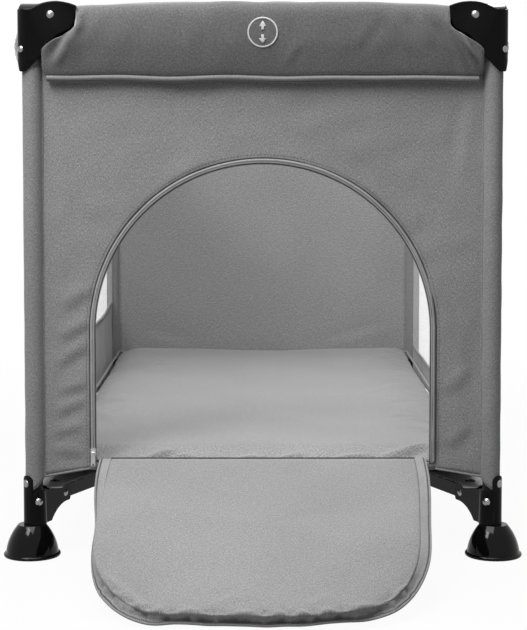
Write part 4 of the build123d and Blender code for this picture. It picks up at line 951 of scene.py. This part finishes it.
def pull_strap():
    """Webbing strap folded over on the hub, with its sewn ends."""
    low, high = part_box("pull_strap")
    along = np.linspace(low.x, high.x, 40)[None]
    across = np.linspace(low.y, high.y, 9)[:, None]
    bow = 0.0012 * np.cos(along / high.x * math.pi / 2)
    points = grid(along, across, high.z - 0.0012 + bow)
    strap = sheet("strap_webbing", points, STRAP_CLOTH, CLOTH_THICKNESS)
    carry(strap, "hub", ["pull_strap"])
    sewn = np.linspace(low.y + 0.003, high.y - 0.003, 20)
    for name, x in (("left", low.x + 0.008), ("right", high.x - 0.008)):
        line = grid(x, sewn, high.z)
        seam = studs(f"strap_{name}_stitches", line, 0.003, (0.0022, 0.0007, 0.0006), DARK_THREAD_AND_SHADE)
        carry(seam, "hub")


def mattress():
    """Mattress swollen by a cloth simulation, then pressed out, creased and thinned towards its ends."""
    low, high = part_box("mattress")
    pad = add_object("mattress_cover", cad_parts["mattress"].data.copy())
    blocks = pad.modifiers.new("blocks", "REMESH")
    blocks.mode = "VOXEL"
    blocks.voxel_size = 0.009
    settle(pad)
    swell(pad, low.z + 0.004)
    finer = pad.modifiers.new("finer", "SUBSURF")
    finer.levels = finer.render_levels = 1
    settle(pad)
    x, y, z = points_of(pad.data).T
    x, y = filling(x, y)
    above = np.clip((z - low.z - 0.010) / 0.02, 0, 1)
    z = np.minimum(z + above * mattress_relief(x, y), high.z + 0.004)
    # its ends are thinner, so that they rest on the walls' hems
    z = np.maximum(z, low.z + 0.028 * eased(np.abs(y), 0.44, 0.59))
    move_points(pad.data, grid(x, y, z))
    dress(pad.data, MATTRESS_CLOTH)
    smooth(pad.data)
    while pad.data.uv_layers:
        pad.data.uv_layers.remove(pad.data.uv_layers[0])
    pad.data.uv_layers.new(name="cloth")
    flat_cloth(pad, 0, 1)
    carry(pad, "mattress", ["mattress"])
    x, y = filling(*mattress_edge(0.003).T)
    welt = piping("mattress_welt", grid(x, y, low.z + 0.036), 0.0022, MATTRESS_CLOTH)
    carry(welt, "mattress")


def mattress_relief(x, y):
    """Puckers along the mattress's edges, its slack, and its folds."""
    marks = [
        ((-0.270, -0.20), (-0.200, -0.42), 0.012, 0.0030),
        ((-0.285, -0.02), (-0.210, -0.16), 0.014, 0.0026),
        ((0.285, -0.12), (0.170, -0.28), 0.013, 0.0032),
        ((0.280, -0.30), (0.150, -0.36), 0.011, 0.0030),
        ((0.285, -0.42), (0.190, -0.44), 0.009, 0.0028),
        ((0.270, 0.10), (0.180, -0.05), 0.014, 0.0024),
        ((-0.240, 0.40), (-0.150, 0.30), 0.016, 0.0026),
        ((0.250, 0.45), (0.150, 0.33), 0.016, 0.0026),
        ((-0.168, -0.592), (-0.125, -0.555), 0.006, 0.0055),
        ((-0.150, -0.592), (-0.100, -0.570), 0.005, 0.0045),
        ((-0.075, -0.592), (0.000, -0.572), 0.006, 0.0042),
        ((0.010, -0.592), (0.060, -0.560), 0.006, 0.0040),
        ((0.080, -0.592), (0.150, -0.572), 0.007, 0.0048),
        ((0.160, -0.590), (0.230, -0.540), 0.008, 0.0050),
    ]
    from_end = MATTRESS_Y - np.abs(y)
    near_side = np.clip(1 - (MATTRESS_X - np.abs(x)) / 0.05, 0, 1)
    near_end = np.clip(1 - from_end / 0.06, 0, 1)
    end_pucker = np.sin(x * 105 + 3.0 * np.sin(x * 17 + np.sign(y)) + 8 * from_end * np.sign(y))
    side_pucker = np.sin(y * 95 + 3.0 * np.sin(y * 13 + np.sign(x)))
    puckers = 0.0016 * near_end**2 * end_pucker + 0.0012 * near_side * side_pucker
    return puckers + 0.0018 * ripple(x, y, 0.35, 91) + folds(x, y, marks)


def filling(x, y):
    """Plan of the mattress pressed out to just short of the walls, most of all halfway along its sides."""
    wider, longer, bulge = 1.026, 1.012, 0.027
    return x * (wider + bulge * (1 - (y / SHEET_END) ** 2)), longer * y


def mattress_edge(inset):
    """Plan of the mattress's edge, whose sides are drawn in between its corners."""
    x, y, drawn = MATTRESS_X - inset, MATTRESS_Y - inset, 0.009
    share = np.linspace(-1, 1, 80)[:-1]
    bow = drawn * (1 - share**2)
    front = np.stack([share * x, bow - y], axis=1)
    right = np.stack([x - bow, share * y], axis=1)
    return np.concatenate([front, right, -front, -right, front[:1]])


def settled(piece):
    """A copy of a piece's mesh with its modifiers applied."""
    graph = bpy.context.evaluated_depsgraph_get()
    return bpy.data.meshes.new_from_object(piece.evaluated_get(graph))


def settle(piece):
    """Apply a piece's modifiers."""
    piece.data = settled(piece)
    piece.modifiers.clear()


def swell(piece, held_below):
    """Blow a closed piece up a little as cloth, with its underside held, and keep each move small."""
    limit = 0.006
    last_frame = 20
    start = points_of(piece.data)
    held = piece.vertex_groups.new(name="held")
    held.add([int(i) for i in np.where(start[:, 2] < held_below)[0]], 1.0, "REPLACE")
    cloth = piece.modifiers.new("cloth", "CLOTH")
    cloth.settings.use_pressure = True
    cloth.settings.uniform_pressure_force = 3.5
    cloth.settings.vertex_group_mass = "held"
    cloth.settings.shrink_min = -0.012
    cloth.settings.bending_stiffness = 0.4
    cloth.settings.effector_weights.gravity = 0
    cloth.point_cache.frame_start = 1
    cloth.point_cache.frame_end = last_frame
    for step in range(1, last_frame + 1):
        bpy.context.scene.frame_set(step)
    move = points_of(settled(piece)) - start
    size = np.linalg.norm(move, axis=1)[:, None]
    moved = start + move * np.minimum(1, limit / np.maximum(size, 1e-9))
    piece.modifiers.clear()
    piece.vertex_groups.clear()
    move_points(piece.data, moved)
    bpy.context.scene.frame_set(1)


# Rigid solids


def dress_solids():
    """Materials for the solids that stay as they are."""
    looks = {
        "leg_tube": PAINT,
        "floor_bar": PAINT,
        "end_rail": PAINT,
        "side_rail": PAINT,
        "bracket": PLASTIC,
        "foot": PLASTIC,
        "latch": PLASTIC,
        "hub": PLASTIC,
        "suction_cup": RUBBER,
        "button": BUTTON_PLASTIC,
        "rivets": STEEL,
        "hub_pins": STEEL,
    }
    for name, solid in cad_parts.items():
        for ending, material in looks.items():
            if name.endswith(ending):
                dress(solid.data, material)
                smooth(solid.data)
                split = solid.modifiers.new("edges", "EDGE_SPLIT")
                split.split_angle = math.radians(35)


dress_solids()
front_wall()
zip_band()
zip_hardware()
leg_sleeves()
back_wall()
side_walls()
rail_cover("front", 0, -1, "front_left_leg")
rail_cover("back", 0, 1, "back_left_leg")
rail_cover("left", -1, 0, "front_left_leg")
rail_cover("right", 1, 0, "front_right_leg")
door_panel()
floor_sheet()
pull_strap()
mattress()


# Studio: floor, lamps and camera


def lamp(name, place, target, size, power):
    """A square soft lamp aimed at a point, with its top upwards."""
    light = bpy.data.lights.new(name, "AREA")
    light.size = size
    light.energy = power
    made = add_object(name, light)
    made.location = place
    x, y, z = np.subtract(target, place)
    made.rotation_euler = (math.atan2(math.hypot(x, y), -z), 0, math.atan2(-x, y))


def blended(tree, share, first, second, output):
    """Send a first shader where share is 0, and a second where it is 1, to the tree's output node."""
    mix = node(tree, "ShaderNodeMixShader", Fac=share)
    tree.links.new(first, mix.inputs[1])
    tree.links.new(second, mix.inputs[2])
    tree.links.new(mix.outputs["Shader"], tree.nodes[output].inputs["Surface"])


def background_rays(tree):
    """1 for the rays that see a white background: those of the camera, of gloss and through glass."""
    rays = node(tree, "ShaderNodeLightPath").outputs
    seen = rays["Is Camera Ray"]
    for name in ("Is Glossy Ray", "Is Transmission Ray"):
        seen = arithmetic(tree, "MAXIMUM", seen, rays[name])
    return seen


def pale_floor():
    """Floor that keeps a soft shadow near the playpen. To the camera it glows white further away."""
    span = 40
    corners = [(-span, -span, 0), (span, -span, 0), (span, span, 0), (-span, span, 0)]
    floor = add_object("floor", bpy.data.meshes.new("floor"))
    floor.data.from_pydata(corners, [], [(0, 1, 2, 3)])
    material, tree, main = shader("floor_paint", 0.3, 0.8)
    place = node(tree, "ShaderNodeTexCoord").outputs["Object"]
    distance = node(tree, "ShaderNodeVectorMath", operation="LENGTH")
    tree.links.new(place, distance.inputs[0])
    near = node(tree, "ShaderNodeMapRange", Value=distance.outputs["Value"])
    for name, value in (("From Min", 0.8), ("From Max", 1.7), ("To Min", 0.95), ("To Max", 1.0)):
        near.inputs[name].default_value = value
    share = arithmetic(tree, "MULTIPLY", background_rays(tree), near.outputs["Result"])
    glow = node(tree, "ShaderNodeEmission", Strength=1.0)
    blended(tree, share, main.outputs["BSDF"], glow.outputs["Emission"], "Material Output")
    floor.data.materials.append(material)


def surroundings():
    """Dim even light from all round, and white behind the object."""
    world = bpy.data.worlds.new("studio")
    bpy.context.scene.world = world
    world.use_nodes = True
    tree = world.node_tree
    around = tree.nodes["Background"]
    around.inputs["Color"].default_value = (1, 1, 1, 1)
    around.inputs["Strength"].default_value = WORLD_LIGHT
    behind = node(tree, "ShaderNodeBackground", Color=(1, 1, 1, 1), Strength=1.0)
    shaders = [made.outputs["Background"] for made in (around, behind)]
    blended(tree, background_rays(tree), *shaders, "World Output")


def studio():
    """Floor, surroundings, lamps and camera."""
    pale_floor()
    surroundings()
    lamp("key", place=(-0.8, -1.5, 1.5), target=(0, -0.6, 0.5), size=0.5, power=16)
    lamp("top", place=(-0.4, -1.0, 2.6), target=(0, -0.2, 0.2), size=2.0, power=108)
    lamp("rim", place=(0.1, 1.5, 2.2), target=(0, 0, 0.7), size=1.2, power=60)
    camera = add_object("camera", bpy.data.cameras.new("camera"))
    camera.location = CAMERA_PLACE
    camera.rotation_euler = (math.pi / 2 - CAMERA_PITCH, 0, 0)
    camera.data.sensor_width = 36
    camera.data.lens = CAMERA_LENS
    camera.data.shift_y = CAMERA_SHIFT
    bpy.context.scene.camera = camera
    bpy.context.scene.view_settings.view_transform = "Standard"


studio()
